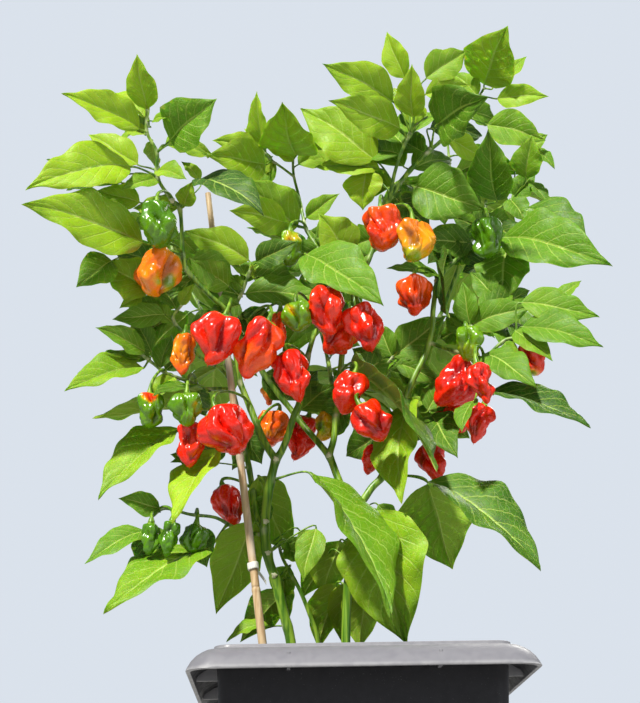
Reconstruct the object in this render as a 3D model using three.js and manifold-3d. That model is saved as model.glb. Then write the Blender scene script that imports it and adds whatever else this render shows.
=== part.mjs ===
// A chilli pepper plant in a square pot: stems, leafy shoots, hanging pods, a bamboo cane and soil.
// Millimetres, +Z up. The origin is the middle of the pot's underside.
import * as THREE from 'three';
import { mergeVertices } from 'three/addons/utils/BufferGeometryUtils.js';
import Module from 'manifold-3d';

const wasm = await Module();
wasm.setup();

// Driving dimensions of the pot
const potHeight = 275;
const rimHalf = 146; // half width at the rim's lower edge
const lipHalf = 123.5; // half width of the lip on top of the rim
const lipHeight = 2.5;
const rimDrop = 22.5; // the rim's lower edge lies this far under the lip
const wall = 3;
const wallHalfTop = 121.5; // outer half width of the wall, where the rim leaves it
const wallHalfBase = 108;
const wallTopZ = 266;
const cornerBody = 12;
const cornerRim = 20;
const rimCurve = [[0, 0, 3], [1.2, 4, 2], [8, 13.5, 0], [15.5, 18.4, -3]]; // [in, up, wider corner]
const rimEdge = 3.6; // thickness of the rim's lower edge
const ribPlaces = [-62, 62]; // along each side, under the rim
const ribDeep = 20;
const ribHigh = 12;
const ribDrop = 7; // from the rim's lower edge up to a rib's middle
const ribSink = 1.2; // into the wall
const drainRadius = 6;
const drainPlace = 55;
const drainSides = 8;

// Soil, cane and tie
const soilTop = 247;
const fitGap = 0.3; // between neighbouring pieces
const caneRadius = 3.9;
const caneTopRadius = 2.9;
const holeRoom = 0.5; // round a stem or the cane in the soil
const holeSides = 8;

// The viewing point from which the plant was measured, and its line of sight
const eye = new THREE.Vector3(-72, -1365, 78);
const pitch = THREE.MathUtils.degToRad(20);
const swing = THREE.MathUtils.degToRad(1.9);
const tilt = THREE.MathUtils.degToRad(1.2);

// The measuring board stands square to the line of sight, this far from the eye, in millimetres
// across and up. boardMiddle is where the line of sight meets it.
const boardDistance = 1500;
const boardMiddle = [320, 349];

const sight = new THREE.Vector3(
  Math.sin(swing) * Math.cos(pitch), Math.cos(swing) * Math.cos(pitch), Math.sin(pitch));
const levelRight = new THREE.Vector3(Math.cos(swing), -Math.sin(swing), 0);
const squareUp = new THREE.Vector3().crossVectors(levelRight, sight);
const boardRight = levelRight.clone().multiplyScalar(Math.cos(tilt))
  .addScaledVector(squareUp, -Math.sin(tilt));
const boardUp = squareUp.clone().multiplyScalar(Math.cos(tilt))
  .addScaledVector(levelRight, Math.sin(tilt));

// The point at depth Y that lies behind the board's point (across, up), seen from the eye.
function spot([across, up, depth]) {
  const ray = sight.clone().multiplyScalar(boardDistance)
    .addScaledVector(boardRight, across - boardMiddle[0])
    .addScaledVector(boardUp, up - boardMiddle[1]);
  return ray.multiplyScalar((depth - eye.y) / ray.y).add(eye);
}

// Where a point is seen on the board.
function boardPlace(point) {
  const ray = point.clone().sub(eye);
  const stretch = boardDistance / ray.dot(sight);
  return [boardMiddle[0] + ray.dot(boardRight) * stretch, boardMiddle[1] + ray.dot(boardUp) * stretch];
}

// Millimetres of the real thing for one millimetre of the board, at depth Y.
function boardScale(depth) {
  return (depth - eye.y) / (boardDistance * Math.cos(pitch));
}

// Seeded draws from 0 to 1.
function drawer(seed) {
  let state = seed;
  return () => {
    state = (state * 16807) % 2147483647;
    return state / 2147483647;
  };
}

// Stems, from foot to end: [across, up, depth] on the board, and the thickness at both ends.
const stems = {
  leftTrunk: { node: 'stem_left', thick: [9.4, 7.8], through: [
    [298, -21, 0], [296, 3, 0], [291, 58, -3], [283, 90, -6], [276, 120, -9], [269, 140, -11],
    [265, 170, -13], [268, 205, -14], [272, 225, -15], [276, 241, -15]] },
  leftArm: { node: 'stem_left', thick: [7.2, 5.8], through: [
    [276, 241, -15], [268, 252, -14], [260, 268, -12], [252, 288, -9], [246, 303, -6],
    [240, 318, -3]] },
  innerArm: { node: 'stem_left', thick: [7, 5.2], through: [
    [276, 241, -15], [282, 250, -18], [288, 265, -22], [294, 285, -26], [299, 297, -28],
    [304, 320, -28], [308, 345, -25]] },
  backArm: { node: 'stem_left', thick: [6, 4.8], through: [
    [264, 170, -12], [257, 186, -4], [253, 208, 0], [249, 232, 4], [246, 248, 6], [241, 272, 8],
    [236, 295, 8], [231, 318, 6]] },
  rightTrunk: { node: 'stem_right', thick: [8.4, 7.6], through: [
    [346, -21, -20], [346, 3, -20], [346, 60, -20], [347, 97, -20], [350, 130, -22],
    [355, 160, -24], [355, 193, -25]] },
  rightLeftArm: { node: 'stem_right', thick: [7.4, 6.6], through: [
    [355, 193, -25], [346, 205, -22], [338, 222, -18], [332, 238, -15], [329, 245, -14]] },
  crossArm: { node: 'stem_right', thick: [6.2, 4.8], through: [
    [329, 245, -14], [318, 258, -8], [305, 273, 0], [290, 292, 6], [277, 308, 9],
    [262, 330, 11], [252, 352, 12]] },
  middleArm: { node: 'stem_right', thick: [6.2, 5.2], through: [
    [329, 245, -14], [334, 262, -14], [336, 285, -12], [340, 315, -8], [342, 345, -5],
    [347, 372, 0], [354, 398, 4], [360, 420, 6]] },
  outerArm: { node: 'stem_right', thick: [7.4, 4.8], through: [
    [355, 193, -25], [363, 200, -24], [372, 213, -22], [383, 225, -20], [387, 245, -18],
    [394, 270, -16], [403, 297, -14], [415, 325, -12], [425, 345, -10], [432, 370, -8],
    [433, 390, -6], [437, 420, -4]] },
  thinStem: { node: 'stem_thin', thick: [4.6, 3], through: [
    [322, -21, 12], [320, 20, 10], [318, 60, 8], [310, 85, 4], [300, 110, 0], [288, 132, 4],
    [282, 144, 10], [279, 156, 16]] },
  leftTop: { node: 'shoot_left_top', thick: [5.6, 2.6], through: [
    [240, 318, -3], [236, 345, -5], [234, 370, -10], [228, 388, -16], [212, 403, -26],
    [200, 415, -32], [187, 430, -38], [183, 445, -42], [180, 491, -52], [172, 500, -56],
    [157, 524, -62], [157, 548, -70], [147, 568, -75], [147, 591, -80]] },
  innerTwig: { node: 'shoot_left_inner', thick: [4.2, 2.4], through: [
    [252, 352, 12], [246, 370, 8], [240, 385, 2], [237, 397, -4], [243, 410, -8],
    [250, 430, -12]] },
  midTwig: { node: 'shoot_left_mid', thick: [3.6, 2.4], through: [
    [231, 318, 6], [222, 330, -4], [210, 338, -12], [198, 345, -20], [185, 365, -30],
    [173, 382, -38], [182, 396, -44]] },
  lowTwig: { node: 'shoot_left_low', thick: [3.6, 2.4], through: [
    [232, 310, 6], [222, 312, -2], [206, 312, -10], [186, 320, -18], [165, 328, -26],
    [152, 338, -32], [140, 347, -36]] },
  lowerLeft: { node: 'shoot_lower_left', thick: [3.8, 2.4], through: [
    [260, 166, -8], [248, 168, 2], [232, 174, 4], [215, 183, -2], [190, 186, -12],
    [165, 192, -24], [152, 184, -30]] },
  middleTop: { node: 'shoot_middle', thick: [5, 2.6], through: [
    [308, 345, -25], [313, 362, -16], [320, 382, -4], [326, 405, 6], [327, 432, 14],
    [316, 455, 22], [306, 472, 28], [300, 500, 38], [294, 524, 46], [293, 541, 52]] },
  middleSide: { node: 'shoot_middle', thick: [2.6, 2.2], through: [
    [294, 524, 46], [282, 533, 46], [272, 540, 44], [264, 548, 42]] },
  upperMain: { node: 'shoot_upper', thick: [5.4, 4.4], through: [
    [360, 420, 6], [366, 434, 8], [378, 465, 8], [385, 490, 6], [392, 506, 4], [410, 530, -2],
    [425, 545, -8], [431, 552, -10]] },
  upperRight: { node: 'shoot_upper', thick: [4, 2.6], through: [
    [427, 548, -9], [443, 561, 2], [455, 572, 12], [468, 588, 24], [478, 602, 34],
    [484, 612, 42]] },
  upperLeft: { node: 'shoot_upper', thick: [4.2, 2.8], through: [
    [386, 493, 6], [391, 508, 0], [394, 525, -8], [400, 545, -18], [405, 556, -24],
    [411, 568, -30]] },
  rightTop: { node: 'shoot_right_top', thick: [4.6, 3], through: [
    [437, 420, -4], [445, 430, 0], [455, 440, 6], [465, 452, 14], [475, 465, 22],
    [484, 482, 32], [486, 500, 38]] },
  rightTopOut: { node: 'shoot_right_top', thick: [3, 2.4], through: [
    [484, 482, 32], [497, 491, 36], [512, 500, 40]] },
  rightTwig: { node: 'shoot_right', thick: [4, 2.6], through: [
    [432, 357, -9], [445, 352, -16], [460, 348, -24], [475, 345, -32], [484, 342, -38],
    [495, 352, -42], [506, 361, -44], [516, 362, -46]] },
  rightBack: { node: 'shoot_right', thick: [2.8, 2.2], through: [
    [460, 348, -24], [464, 360, -20], [470, 373, -18], [482, 380, -14]] },
  centreTwig: { node: 'shoot_centre_right', thick: [3, 2], through: [
    [342, 322, -7], [352, 320, -2], [365, 322, 4], [377, 328, 10], [386, 336, 14],
    [393, 344, 16]] },
  spur: { node: 'shoot_centre_right', thick: [2.8, 2.2], through: [
    [377, 328, 10], [392, 318, 16], [408, 300, 18], [422, 296, 20], [430, 290, 22]] },
  backLeft: { node: 'shoot_back_left', thick: [4.6, 2.6], through: [
    [236, 295, 8], [232, 310, 30], [226, 335, 52], [214, 365, 72], [196, 400, 92],
    [176, 440, 108], [164, 480, 118]] },
  backMiddle: { node: 'shoot_back_middle', thick: [5, 2.6], through: [
    [336, 285, -12], [334, 300, 14], [330, 330, 40], [322, 365, 62], [310, 405, 82],
    [300, 440, 96], [285, 485, 110]] },
  backRight: { node: 'shoot_back_right', thick: [5, 2.6], through: [
    [403, 297, -14], [408, 312, 12], [420, 340, 36], [436, 375, 56], [450, 410, 76],
    [462, 455, 92], [452, 510, 104], [448, 555, 108]] },
};

// Leaves by stem: [across and up of the blade's foot, across, up and depth of its tip, width seen,
// 1 if the upper face is seen or -1 if the underside is, arch as a share of the length].
const leaves = {
  leftTop: [
    [147, 591, 137, 647, -115, 34, 1], [140, 572, 61, 607, -120, 34, 1],
    [153, 580, 170, 584, -105, 10, 1], [170, 560, 217, 602, -125, 58, 1],
    [130, 534, 25, 510, -115, 46, 1, 0.22], [138, 536, 88, 566, -50, 34, 1],
    [157, 530, 187, 521, -90, 18, 1], [156, 522, 121, 510, -90, 20, 1],
    [122, 518, 46, 541, -60, 36, 1], [184, 494, 192, 519, -70, 22, 1],
    [199, 521, 264, 484, -125, 36, 1, 0.2], [143, 458, 21, 496, -130, 54, 1],
    [140, 498, 96, 510, -60, 28, 1], [178, 492, 133, 492, -30, 24, 1],
    [112, 440, 76, 413, -75, 38, 1], [150, 408, 103, 438, -90, 44, 1],
    [195, 396, 281, 386, -120, 36, 1, -0.14],
  ],
  innerTwig: [
    [249, 440, 184, 470, -15, 36, 1, 0.2], [229, 414, 188, 440, -35, 32, 1],
    [256, 438, 299, 459, -35, 30, 1], [245, 407, 330, 400, -20, 34, 1, 0.16],
  ],
  midTwig: [
    [165, 386, 112, 381, -40, 26, 1],
  ],
  lowTwig: [
    [145, 349, 95, 373, -70, 24, 1], [152, 348, 136, 384, -20, 26, 1],
    [143, 333, 64, 309, -80, 27, 1], [140, 342, 77, 327, -40, 22, 1],
    [174, 324, 146, 297, -50, 20, 1], [210, 310, 92, 282, -90, 13, 1, -0.08],
  ],
  backArm: [
    [180, 272, 98, 200, -75, 40, 1], [224, 252, 172, 176, -85, 36, 1],
    [226, 250, 170, 238, -20, 26, 1],
  ],
  lowerLeft: [
    [145, 170, 84, 136, -70, 24, 1], [208, 152, 103, 86, -95, 38, 1],
    [196, 172, 207, 133, -10, 34, 1], [150, 174, 160, 126, -20, 38, 1],
    [160, 192, 118, 202, -45, 24, 1],
  ],
  leftTrunk: [
    [254, 178, 216, 86, 10, 50, -1], [258, 224, 294, 142, 20, 48, -1],
    [284, 107, 240, 58, 30, 36, -1], [312, 226, 390, 82, -85, 38, 1],
    [316, 172, 303, 118, -25, 28, 1],
  ],
  thinStem: [
    [284, 152, 308, 141, -2, 20, 1], [283, 122, 288, 76, 22, 22, -1],
  ],
  rightTrunk: [
    [340, 160, 322, 100, 8, 40, -1], [337, 118, 318, 50, 16, 38, -1],
    [366, 114, 360, 50, 12, 42, -1], [376, 190, 408, 54, -95, 86, 1],
  ],
  outerArm: [
    [428, 219, 541, 129, -85, 38, 1, 0.16], [428, 217, 453, 131, 0, 74, -1],
    [410, 300, 402, 196, -60, 40, 1],
  ],
  middleArm: [
    [352, 333, 437, 228, -115, 13, 1],
  ],
  centreTwig: [
    [393, 343, 446, 384, 10, 38, 1], [396, 338, 441, 318, 12, 24, 1],
  ],
  spur: [
    [430, 286, 458, 242, 20, 30, 1],
  ],
  rightTwig: [
    [485, 347, 537, 312, -65, 26, 1], [488, 308, 591, 272, -90, 20, 1],
    [505, 358, 519, 323, -40, 20, 1], [522, 374, 604, 353, -85, 34, 1],
    [515, 370, 553, 339, -50, 22, 1], [521, 398, 600, 383, -60, 33, 1],
  ],
  rightBack: [
    [472, 376, 536, 396, -45, 34, 1], [470, 377, 463, 419, -25, 26, 1],
    [497, 402, 470, 428, 5, 25, 1],
  ],
  rightTop: [
    [503, 463, 613, 434, -55, 54, 1, 0.16], [497, 500, 488, 572, -35, 48, 1],
    [508, 454, 500, 392, -10, 54, 1], [481, 485, 450, 490, 5, 22, 1],
    [488, 482, 512, 476, 45, 24, 1], [472, 458, 414, 458, 0, 36, 1],
    [440, 424, 386, 432, -30, 15, 1], [447, 450, 450, 382, -50, 12, 1],
  ],
  rightTopOut: [
    [527, 493, 590, 446, -15, 38, 1, 0.18], [526, 522, 532, 566, 0, 34, 1],
    [537, 552, 555, 531, 25, 13, 1],
  ],
  middleTop: [
    [296, 545, 282, 599, -30, 60, 1], [298, 474, 236, 520, -15, 50, 1],
    [286, 478, 229, 490, -30, 36, 1], [306, 483, 340, 507, 10, 22, 1],
  ],
  middleSide: [
    [264, 552, 257, 610, 10, 22, 1], [266, 536, 206, 545, 0, 44, 1],
    [264, 552, 212, 560, 40, 26, 1],
  ],
  upperMain: [
    [376, 540, 300, 592, 20, 60, 1], [380, 532, 314, 533, 30, 27, 1],
    [366, 530, 363, 490, 25, 42, 1], [437, 576, 489, 604, -125, 62, 1],
    [414, 514, 485, 490, -15, 62, 1, 0.16], [349, 444, 318, 487, -20, 46, 1],
    [306, 446, 384, 394, -85, 52, 1], [448, 562, 484, 542, 30, 26, 1],
    [400, 508, 419, 486, 30, 20, 1],
  ],
  upperLeft: [
    [393, 599, 322, 637, -70, 46, 1], [400, 572, 328, 600, -80, 42, 1],
    [405, 622, 387, 669, -40, 30, 1], [426, 622, 467, 650, -30, 36, 1],
    [413, 583, 412, 637, -75, 34, 1], [425, 606, 469, 616, -25, 26, 1],
  ],
  upperRight: [
    [484, 616, 508, 675, -25, 60, 1], [492, 612, 527, 644, 45, 24, 1],
    [497, 602, 549, 604, 10, 26, 1], [487, 576, 546, 560, 20, 40, 1, 0.16],
  ],
};

// Pods: stem they hang from, across, up and depth of the middle, width and height seen,
// across and up of the point that the tip aims at, how pointed the tip is, ripeness from 0 to 1.
const pods = [
  ['leftTop', 159, 473, -95, 39, 45, 161, 449, 0.1, 0],
  ['leftTop', 157, 425, -95, 45, 47, 152, 400, 0.2, 0.55],
  ['midTwig', 183, 344, -62, 25, 42, 181, 324, 0.7, 0.62],
  ['leftTop', 215, 358, -85, 44, 52, 204, 329, 0.6, 0.92],
  ['innerTwig', 255, 348, -80, 40, 62, 240, 313, 0.8, 0.76],
  ['innerTwig', 278, 368, -45, 18, 38, 276, 350, 0.4, 0.78],
  ['middleTop', 298, 382, -50, 30, 28, 300, 366, 0.2, 0.15],
  ['middleTop', 328, 387, -62, 36, 48, 330, 361, 0.5, 0.84],
  ['middleTop', 335, 362, -50, 37, 38, 322, 345, 0.7, 0.8],
  ['middleArm', 366, 370, -50, 36, 48, 373, 345, 0.8, 0.95],
  ['upperMain', 383, 469, -50, 41, 42, 385, 449, 0.1, 0.74],
  ['upperMain', 414, 457, -48, 38, 40, 415, 438, 0, 0.55],
  ['rightTop', 414, 402, -40, 35, 38, 414, 383, 0.8, 0.76],
  ['rightTop', 487, 460, -20, 35, 38, 487, 440, 0, 0],
  ['rightTwig', 468, 355, -50, 30, 33, 470, 338, 0.3, 0.22],
  ['rightTwig', 453, 314, -62, 42, 53, 437, 287, 0.7, 0.95],
  ['rightTwig', 482, 315, -56, 24, 42, 487, 293, 0.8, 0.92],
  ['rightTwig', 450, 278, -48, 31, 33, 437, 262, 0.8, 0.95],
  ['rightTwig', 478, 275, -56, 24, 40, 472, 255, 0.9, 0.92],
  ['rightTwig', 531, 339, -50, 28, 33, 538, 322, 0.2, 0.8],
  ['innerArm', 294, 321, -66, 36, 53, 302, 294, 0.8, 0.95],
  ['middleArm', 348, 305, -56, 34, 42, 341, 283, 0.7, 0.93],
  ['outerArm', 373, 276, -62, 36, 42, 387, 255, 0.6, 0.93],
  ['leftArm', 228, 267, -75, 47, 49, 240, 243, 0.2, 0.95],
  ['backArm', 191, 253, -45, 28, 45, 190, 230, 0.4, 0.95],
  ['lowTwig', 187, 289, -50, 30, 32, 187, 274, 0.1, 0.12],
  ['lowTwig', 150, 288, -50, 28, 34, 150, 270, 0.1, 0.1],
  ['backArm', 229, 191, -55, 29, 45, 235, 169, 0.6, 0.95],
  ['lowerLeft', 150, 160, -50, 18, 32, 149, 145, 0.5, 0],
  ['lowerLeft', 168, 160, -56, 18, 36, 164, 142, 0.6, 0],
  ['lowerLeft', 194, 160, -45, 25, 28, 192, 147, 0.2, 0],
  ['leftArm', 273, 269, 25, 35, 35, 268, 252, 0.6, 0.68],
  ['crossArm', 300, 260, 30, 27, 46, 292, 237, 0.7, 0.93],
  ['middleArm', 325, 272, 14, 21, 29, 322, 258, 0.3, 0.42],
  ['crossArm', 270, 308, 38, 16, 28, 268, 295, 0.4, 0.55],
  ['outerArm', 372, 239, -6, 20, 31, 366, 224, 0.8, 0.95],
  ['outerArm', 433, 235, 10, 27, 40, 436, 215, 0.6, 0.95],
  ['middleTop', 290, 450, -5, 24, 34, 290, 434, 0.2, 0.1],
];

// The cane is straight from its foot in the soil to its top.
const caneEnds = [[272, -21, -38], [208, 507, 8]];
const caneJoints = [0.22, 0.46, 0.7, 0.9];
const caneSides = 8;

// The tie round the cane, with its end laid towards the left stem
const tieAlong = 0.262; // as a share of the cane
const tieThick = 1.1;
const tieHalf = 3.2; // half its height
const tieEnd = [266, 118, -18];
const tieEndRadius = 1.6;

// Leaf form
const leafAspect = 0.5; // true width for the true length, at least
const leafThick = 0.7;
const petioleHalf = 1.1;
const petioleThick = 2;
const rootSink = 0.15; // past the stem's middle
const leafTurn = THREE.MathUtils.degToRad(18); // least roll away from the viewer
const leafFold = [8, 24]; // degrees that each half rises from flat
const archUsual = 0.12;
const sun = new THREE.Vector3(-0.4, -0.5, 0.75).normalize();
const largeLeaf = [0, 0.14, 0.38, 0.7]; // where a large leaf has its cross sections, foot to tip
const smallLeaf = [0, 0.42];
const largeLeafFrom = 74; // shorter blades are flat slabs, without the fold

// Ways to bend a leaf clear of its neighbours: [depth of the tip, roll in degrees].
const bends = [
  [0, 0], [12, 0], [-12, 0], [22, 12], [-22, -12], [34, 0], [-34, 0], [46, 25], [-46, -25],
  [60, 0], [-60, 0], [76, 30], [-76, -30], [95, 0], [-95, 0], [115, 20], [135, 0],
];
const podShifts = [0, -8, 8, -16, 16, -26, 26, -38, 38, 52, -52, 70, 90];
const clearance = 0.8; // kept while bending clear
const leafSeed = 911;

// Pod form
const podShares = [0, 0.16, 0.48, 0.8]; // where a pod has its cross sections, top to tip
const shoulderStart = 0.56; // of the full radius, at the flat top
const shoulderRise = 3.4;
const taperSpan = [0.5, 1.03];
const taperLeast = 0.52; // a blunt pod's loss of radius at its tip, and a pointed one's beyond it
const taperMore = 0.38;
const podSides = 8;
const podTwist = 1.7; // from the lobes of one pod to the next pod's
const threeLobes = 0.08; // height of the three lobes and of the two, for the radius
const twoLobes = 0.05;
const lobeLean = 5; // radians that the two lobes turn from top to tip
const capHeight = 4.5;
const capShare = 0.44; // radius of the green cap, for the pod's
const stalkRadius = 1.5;
const stalkSides = 4;
const stalkRise = 0.25; // how far the stalk's curve is drawn up at the stem, for its span
const stalkDrop = 0.35; // and back over the pod

// Leaves of the back shoots. They show from the sides and from behind.
const backCount = { backLeft: 7, backMiddle: 8, backRight: 8 };
const backTries = 70;
const backLength = [75, 125];
const backHalf = [0.25, 0.33]; // half width for the length
const backPetiole = [14, 30];
const backSpread = THREE.MathUtils.degToRad(150); // of their headings, seen from above
const backRise = [-25, 40]; // degrees above level
const backDroop = 0.5; // radians that the blade hangs below its stalk
const backFold = 0.2;
const backSeed = 4127;

// ---- Solids ----

function solidOf(points, faces) {
  return new wasm.Manifold(new wasm.Mesh({
    numProp: 3,
    vertProperties: new Float32Array(points.flatMap((p) => [p.x, p.y, p.z])),
    triVerts: new Uint32Array(faces.flat()),
  }));
}

// Rings of equal length, joined in order and closed at both ends. A ring of one point is a tip.
function ringSolid(rings) {
  const points = rings.flat();
  const faces = [];
  let start = 0;
  rings.slice(0, -1).forEach((ring, k) => {
    const next = start + ring.length;
    const nextCount = rings[k + 1].length;
    const count = Math.max(ring.length, nextCount);
    for (let i = 0; i < count; i += 1) {
      const j = (i + 1) % count;
      const a = start + (i % ring.length);
      const b = start + (j % ring.length);
      const c = next + (i % nextCount);
      const d = next + (j % nextCount);
      if (ring.length > 1) faces.push([a, b, d]);
      if (nextCount > 1) faces.push([a, d, c]);
    }
    start = next;
  });
  const last = rings[rings.length - 1].length;
  for (let i = 1; i + 1 < rings[0].length; i += 1) faces.push([0, i + 1, i]);
  for (let i = 1; i + 1 < last; i += 1) faces.push([start, start + i, start + i + 1]);
  return solidOf(points, faces);
}

function geometryOf(solid) {
  const mesh = solid.getMesh();
  const geometry = new THREE.BufferGeometry();
  const places = new Float32Array(mesh.vertProperties);
  geometry.setAttribute('position', new THREE.BufferAttribute(places, 3));
  geometry.setIndex(new THREE.BufferAttribute(new Uint32Array(mesh.triVerts), 1));
  geometry.computeVertexNormals();
  return geometry;
}

// Two directions square to an axis.
function crossWays(axis, hint) {
  const first = hint.clone().addScaledVector(axis, -hint.dot(axis));
  if (first.length() < 0.2) first.set(axis.y, -axis.x, 0);
  first.normalize();
  return [first, new THREE.Vector3().crossVectors(axis, first).normalize()];
}

// A round bar through points, with a radius at each.
function bar(points, radii, sides) {
  const hint = new THREE.Vector3(0.2, -1, 0.1);
  return ringSolid(points.map((point, k) => {
    const before = points[Math.max(k - 1, 0)];
    const after = points[Math.min(k + 1, points.length - 1)];
    const axis = after.clone().sub(before).normalize();
    const [u, v] = crossWays(axis, hint);
    return Array.from({ length: sides }, (_, i) => {
      const angle = (i / sides) * Math.PI * 2;
      return point.clone().addScaledVector(u, Math.cos(angle) * radii[k])
        .addScaledVector(v, Math.sin(angle) * radii[k]);
    });
  }));
}

// A square with round corners, at height z.
function roundSquare(half, corner, z, steps = 2) {
  const ring = [];
  for (let quarter = 0; quarter < 4; quarter += 1) {
    const turn = (quarter * Math.PI) / 2;
    const middle = new THREE.Vector2(half - corner, half - corner)
      .rotateAround(new THREE.Vector2(), turn);
    for (let i = 0; i <= steps; i += 1) {
      const angle = turn + ((i / steps) * Math.PI) / 2;
      ring.push(new THREE.Vector3(
        middle.x + corner * Math.cos(angle), middle.y + corner * Math.sin(angle), z));
    }
  }
  return ring;
}

// ---- Plant parts ----

// Samples along a stem: where it is on the board, in space, and how thick.
function walkStem({ through, thick }, steps = 4) {
  const samples = [];
  for (let k = 0; k + 1 < through.length; k += 1) {
    for (let i = 0; i < steps; i += 1) {
      const share = i / steps;
      samples.push(through[k].map((value, axis) => value + (through[k + 1][axis] - value) * share));
    }
  }
  samples.push(through[through.length - 1]);
  return samples.map((place, i) => ({
    place, at: spot(place), radius: THREE.MathUtils.lerp(...thick, i / (samples.length - 1)) / 2,
  }));
}

// The stem's sample nearest to a little below a place on the board.
function nearest(walk, across, up) {
  const reach = (s, drop) => Math.hypot(s.place[0] - across, s.place[1] - (up - drop));
  const close = Math.min(...walk.map((s) => reach(s, 0)));
  return walk.reduce((best, s) => (reach(s, close * 0.4) < reach(best, close * 0.4) ? s : best));
}

// Half width of a blade along its midrib, from 0 at the foot to 1 at the tip.
function bladeHalf(share) {
  return 4.13 * share ** 0.8 * (1 - share) ** 1.35;
}

// The leaf's frame: foot, tip, upward direction of the upper face, width and fold.
function leafFrame(row, walk, bend, draw) {
  const [footAcross, footUp, tipAcross, tipUp, tipDepth, seen, face, arch = archUsual] = row;
  const root = nearest(walk, footAcross, footUp);
  const petiole = Math.hypot(footAcross - root.place[0], footUp - root.place[1]);
  const blade = Math.hypot(tipAcross - footAcross, tipUp - footUp);
  const depth = tipDepth + bend[0];
  const footDepth = root.place[2] + (depth - root.place[2]) * (petiole / (petiole + blade));
  const foot = spot([footAcross, footUp, footDepth]);
  const tip = spot([tipAcross, tipUp, depth]);
  const axis = tip.clone().sub(foot);
  const length = axis.length();
  axis.normalize();
  const width = seen * boardScale((footDepth + depth) / 2);
  const trueWidth = Math.max(leafAspect * length, width / Math.cos(leafTurn));
  const roll = Math.acos(width / trueWidth);
  const toEye = eye.clone().sub(foot);
  toEye.addScaledVector(axis, -toEye.dot(axis)).normalize();
  const across = new THREE.Vector3().crossVectors(axis, toEye);
  const rolled = (angle) => toEye.clone().multiplyScalar(Math.cos(angle))
    .addScaledVector(across, Math.sin(angle));
  const base = face > 0 ? roll : Math.PI - roll;
  const extra = THREE.MathUtils.degToRad(bend[1]);
  const ways = [rolled(base + extra), rolled(-base - extra)];
  const upper = ways[0].dot(sun) > ways[1].dot(sun) ? ways[0] : ways[1];
  const fold = THREE.MathUtils.degToRad(THREE.MathUtils.lerp(...leafFold, draw));
  const large = length > largeLeafFrom;
  return { root, foot, tip, axis, upper, length, half: trueWidth / 2, fold, arch, large };
}

// A leaf with its petiole, as one thin slab, folded along the midrib if it is large. grow thickens
// it all round.
function leafSolid({ root, foot, tip, axis, upper, length, half, fold, arch, large }, grow = 0) {
  const side = new THREE.Vector3().crossVectors(axis, upper).normalize();
  const top = foot.clone().lerp(tip, 0.5).addScaledVector(upper, arch * length);
  const midrib = new THREE.QuadraticBezierCurve3(foot, top, tip);
  const places = large ? [-1, 0, 1] : [-1, 1];
  const corners = [...places.map((p) => [p, 0.5]), ...places.toReversed().map((p) => [p, -0.5])];
  const slab = (point, first, second, width, thick, rise) => corners.map(([sign, level]) => {
    const lift = width * Math.sin(rise) * (large ? Math.abs(sign) : 0.5);
    return point.clone().addScaledVector(first, sign * width * Math.cos(rise))
      .addScaledVector(second, lift + level * thick);
  });
  const rings = (large ? largeLeaf : smallLeaf).map((share) => {
    const normal = new THREE.Vector3().crossVectors(side, midrib.getTangent(share)).normalize();
    const [width, thick, rise] = share === 0 ? [petioleHalf, petioleThick * 0.7, 0]
      : [bladeHalf(share) * half, leafThick, fold];
    return slab(midrib.getPoint(share), side, normal, width + grow, thick + grow, rise);
  });
  const way = foot.clone().sub(root.at).normalize();
  const [first, second] = crossWays(way, side);
  const start = root.at.clone().addScaledVector(way, -rootSink);
  const rootRing = slab(start, first, second.negate(), petioleHalf + grow, petioleThick + grow, 0);
  return ringSolid([rootRing, ...rings, [tip.clone().addScaledVector(axis, grow)]]);
}

// The pod's radius from its flat top at 0 to its tip at 1, for a full pod of radius 1.
function podRadius(share, pointed) {
  const shoulder = Math.min(1, shoulderStart + shoulderRise * share ** 0.9);
  const taper = 1 - THREE.MathUtils.smoothstep(share, ...taperSpan) * (taperLeast + taperMore * pointed);
  return shoulder * taper;
}

// A pod's frame: top, tip, and its lobes.
function podFrame(row, index, shift) {
  const [, across, up, depth, wide, tall, tipAcross, tipUp, pointed] = row;
  const reach = Math.hypot(tipAcross - across, tipUp - up);
  const way = [(tipAcross - across) / reach, (tipUp - up) / reach];
  const at = (sign) => spot([
    across + (sign * way[0] * tall) / 2, up + (sign * way[1] * tall) / 2, depth + shift]);
  const top = at(-1);
  const tip = at(1);
  return {
    top, tip, axis: tip.clone().sub(top).normalize(), height: tip.distanceTo(top),
    radius: (wide / 2) * boardScale(depth + shift), pointed, phase: index * podTwist,
  };
}

function podSolid({ top, axis, height, radius, pointed, phase }, grow = 0) {
  const [u, v] = crossWays(axis, new THREE.Vector3(0, -1, 0));
  const rings = podShares.map((share) => Array.from({ length: podSides }, (_, i) => {
    const angle = (i / podSides) * Math.PI * 2;
    const grown = Math.min(1, share * 4);
    const lobes = 1 + threeLobes * Math.sin(3 * angle + phase) * grown
      + twoLobes * Math.sin(2 * angle + phase * 2 + share * lobeLean) * grown;
    const r = podRadius(share, pointed) * radius * lobes + grow;
    return top.clone().addScaledVector(axis, share * height - (share === 0 ? grow : 0))
      .addScaledVector(u, r * Math.cos(angle)).addScaledVector(v, r * Math.sin(angle));
  }));
  return ringSolid([...rings, [top.clone().addScaledVector(axis, height + grow)]]);
}

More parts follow.
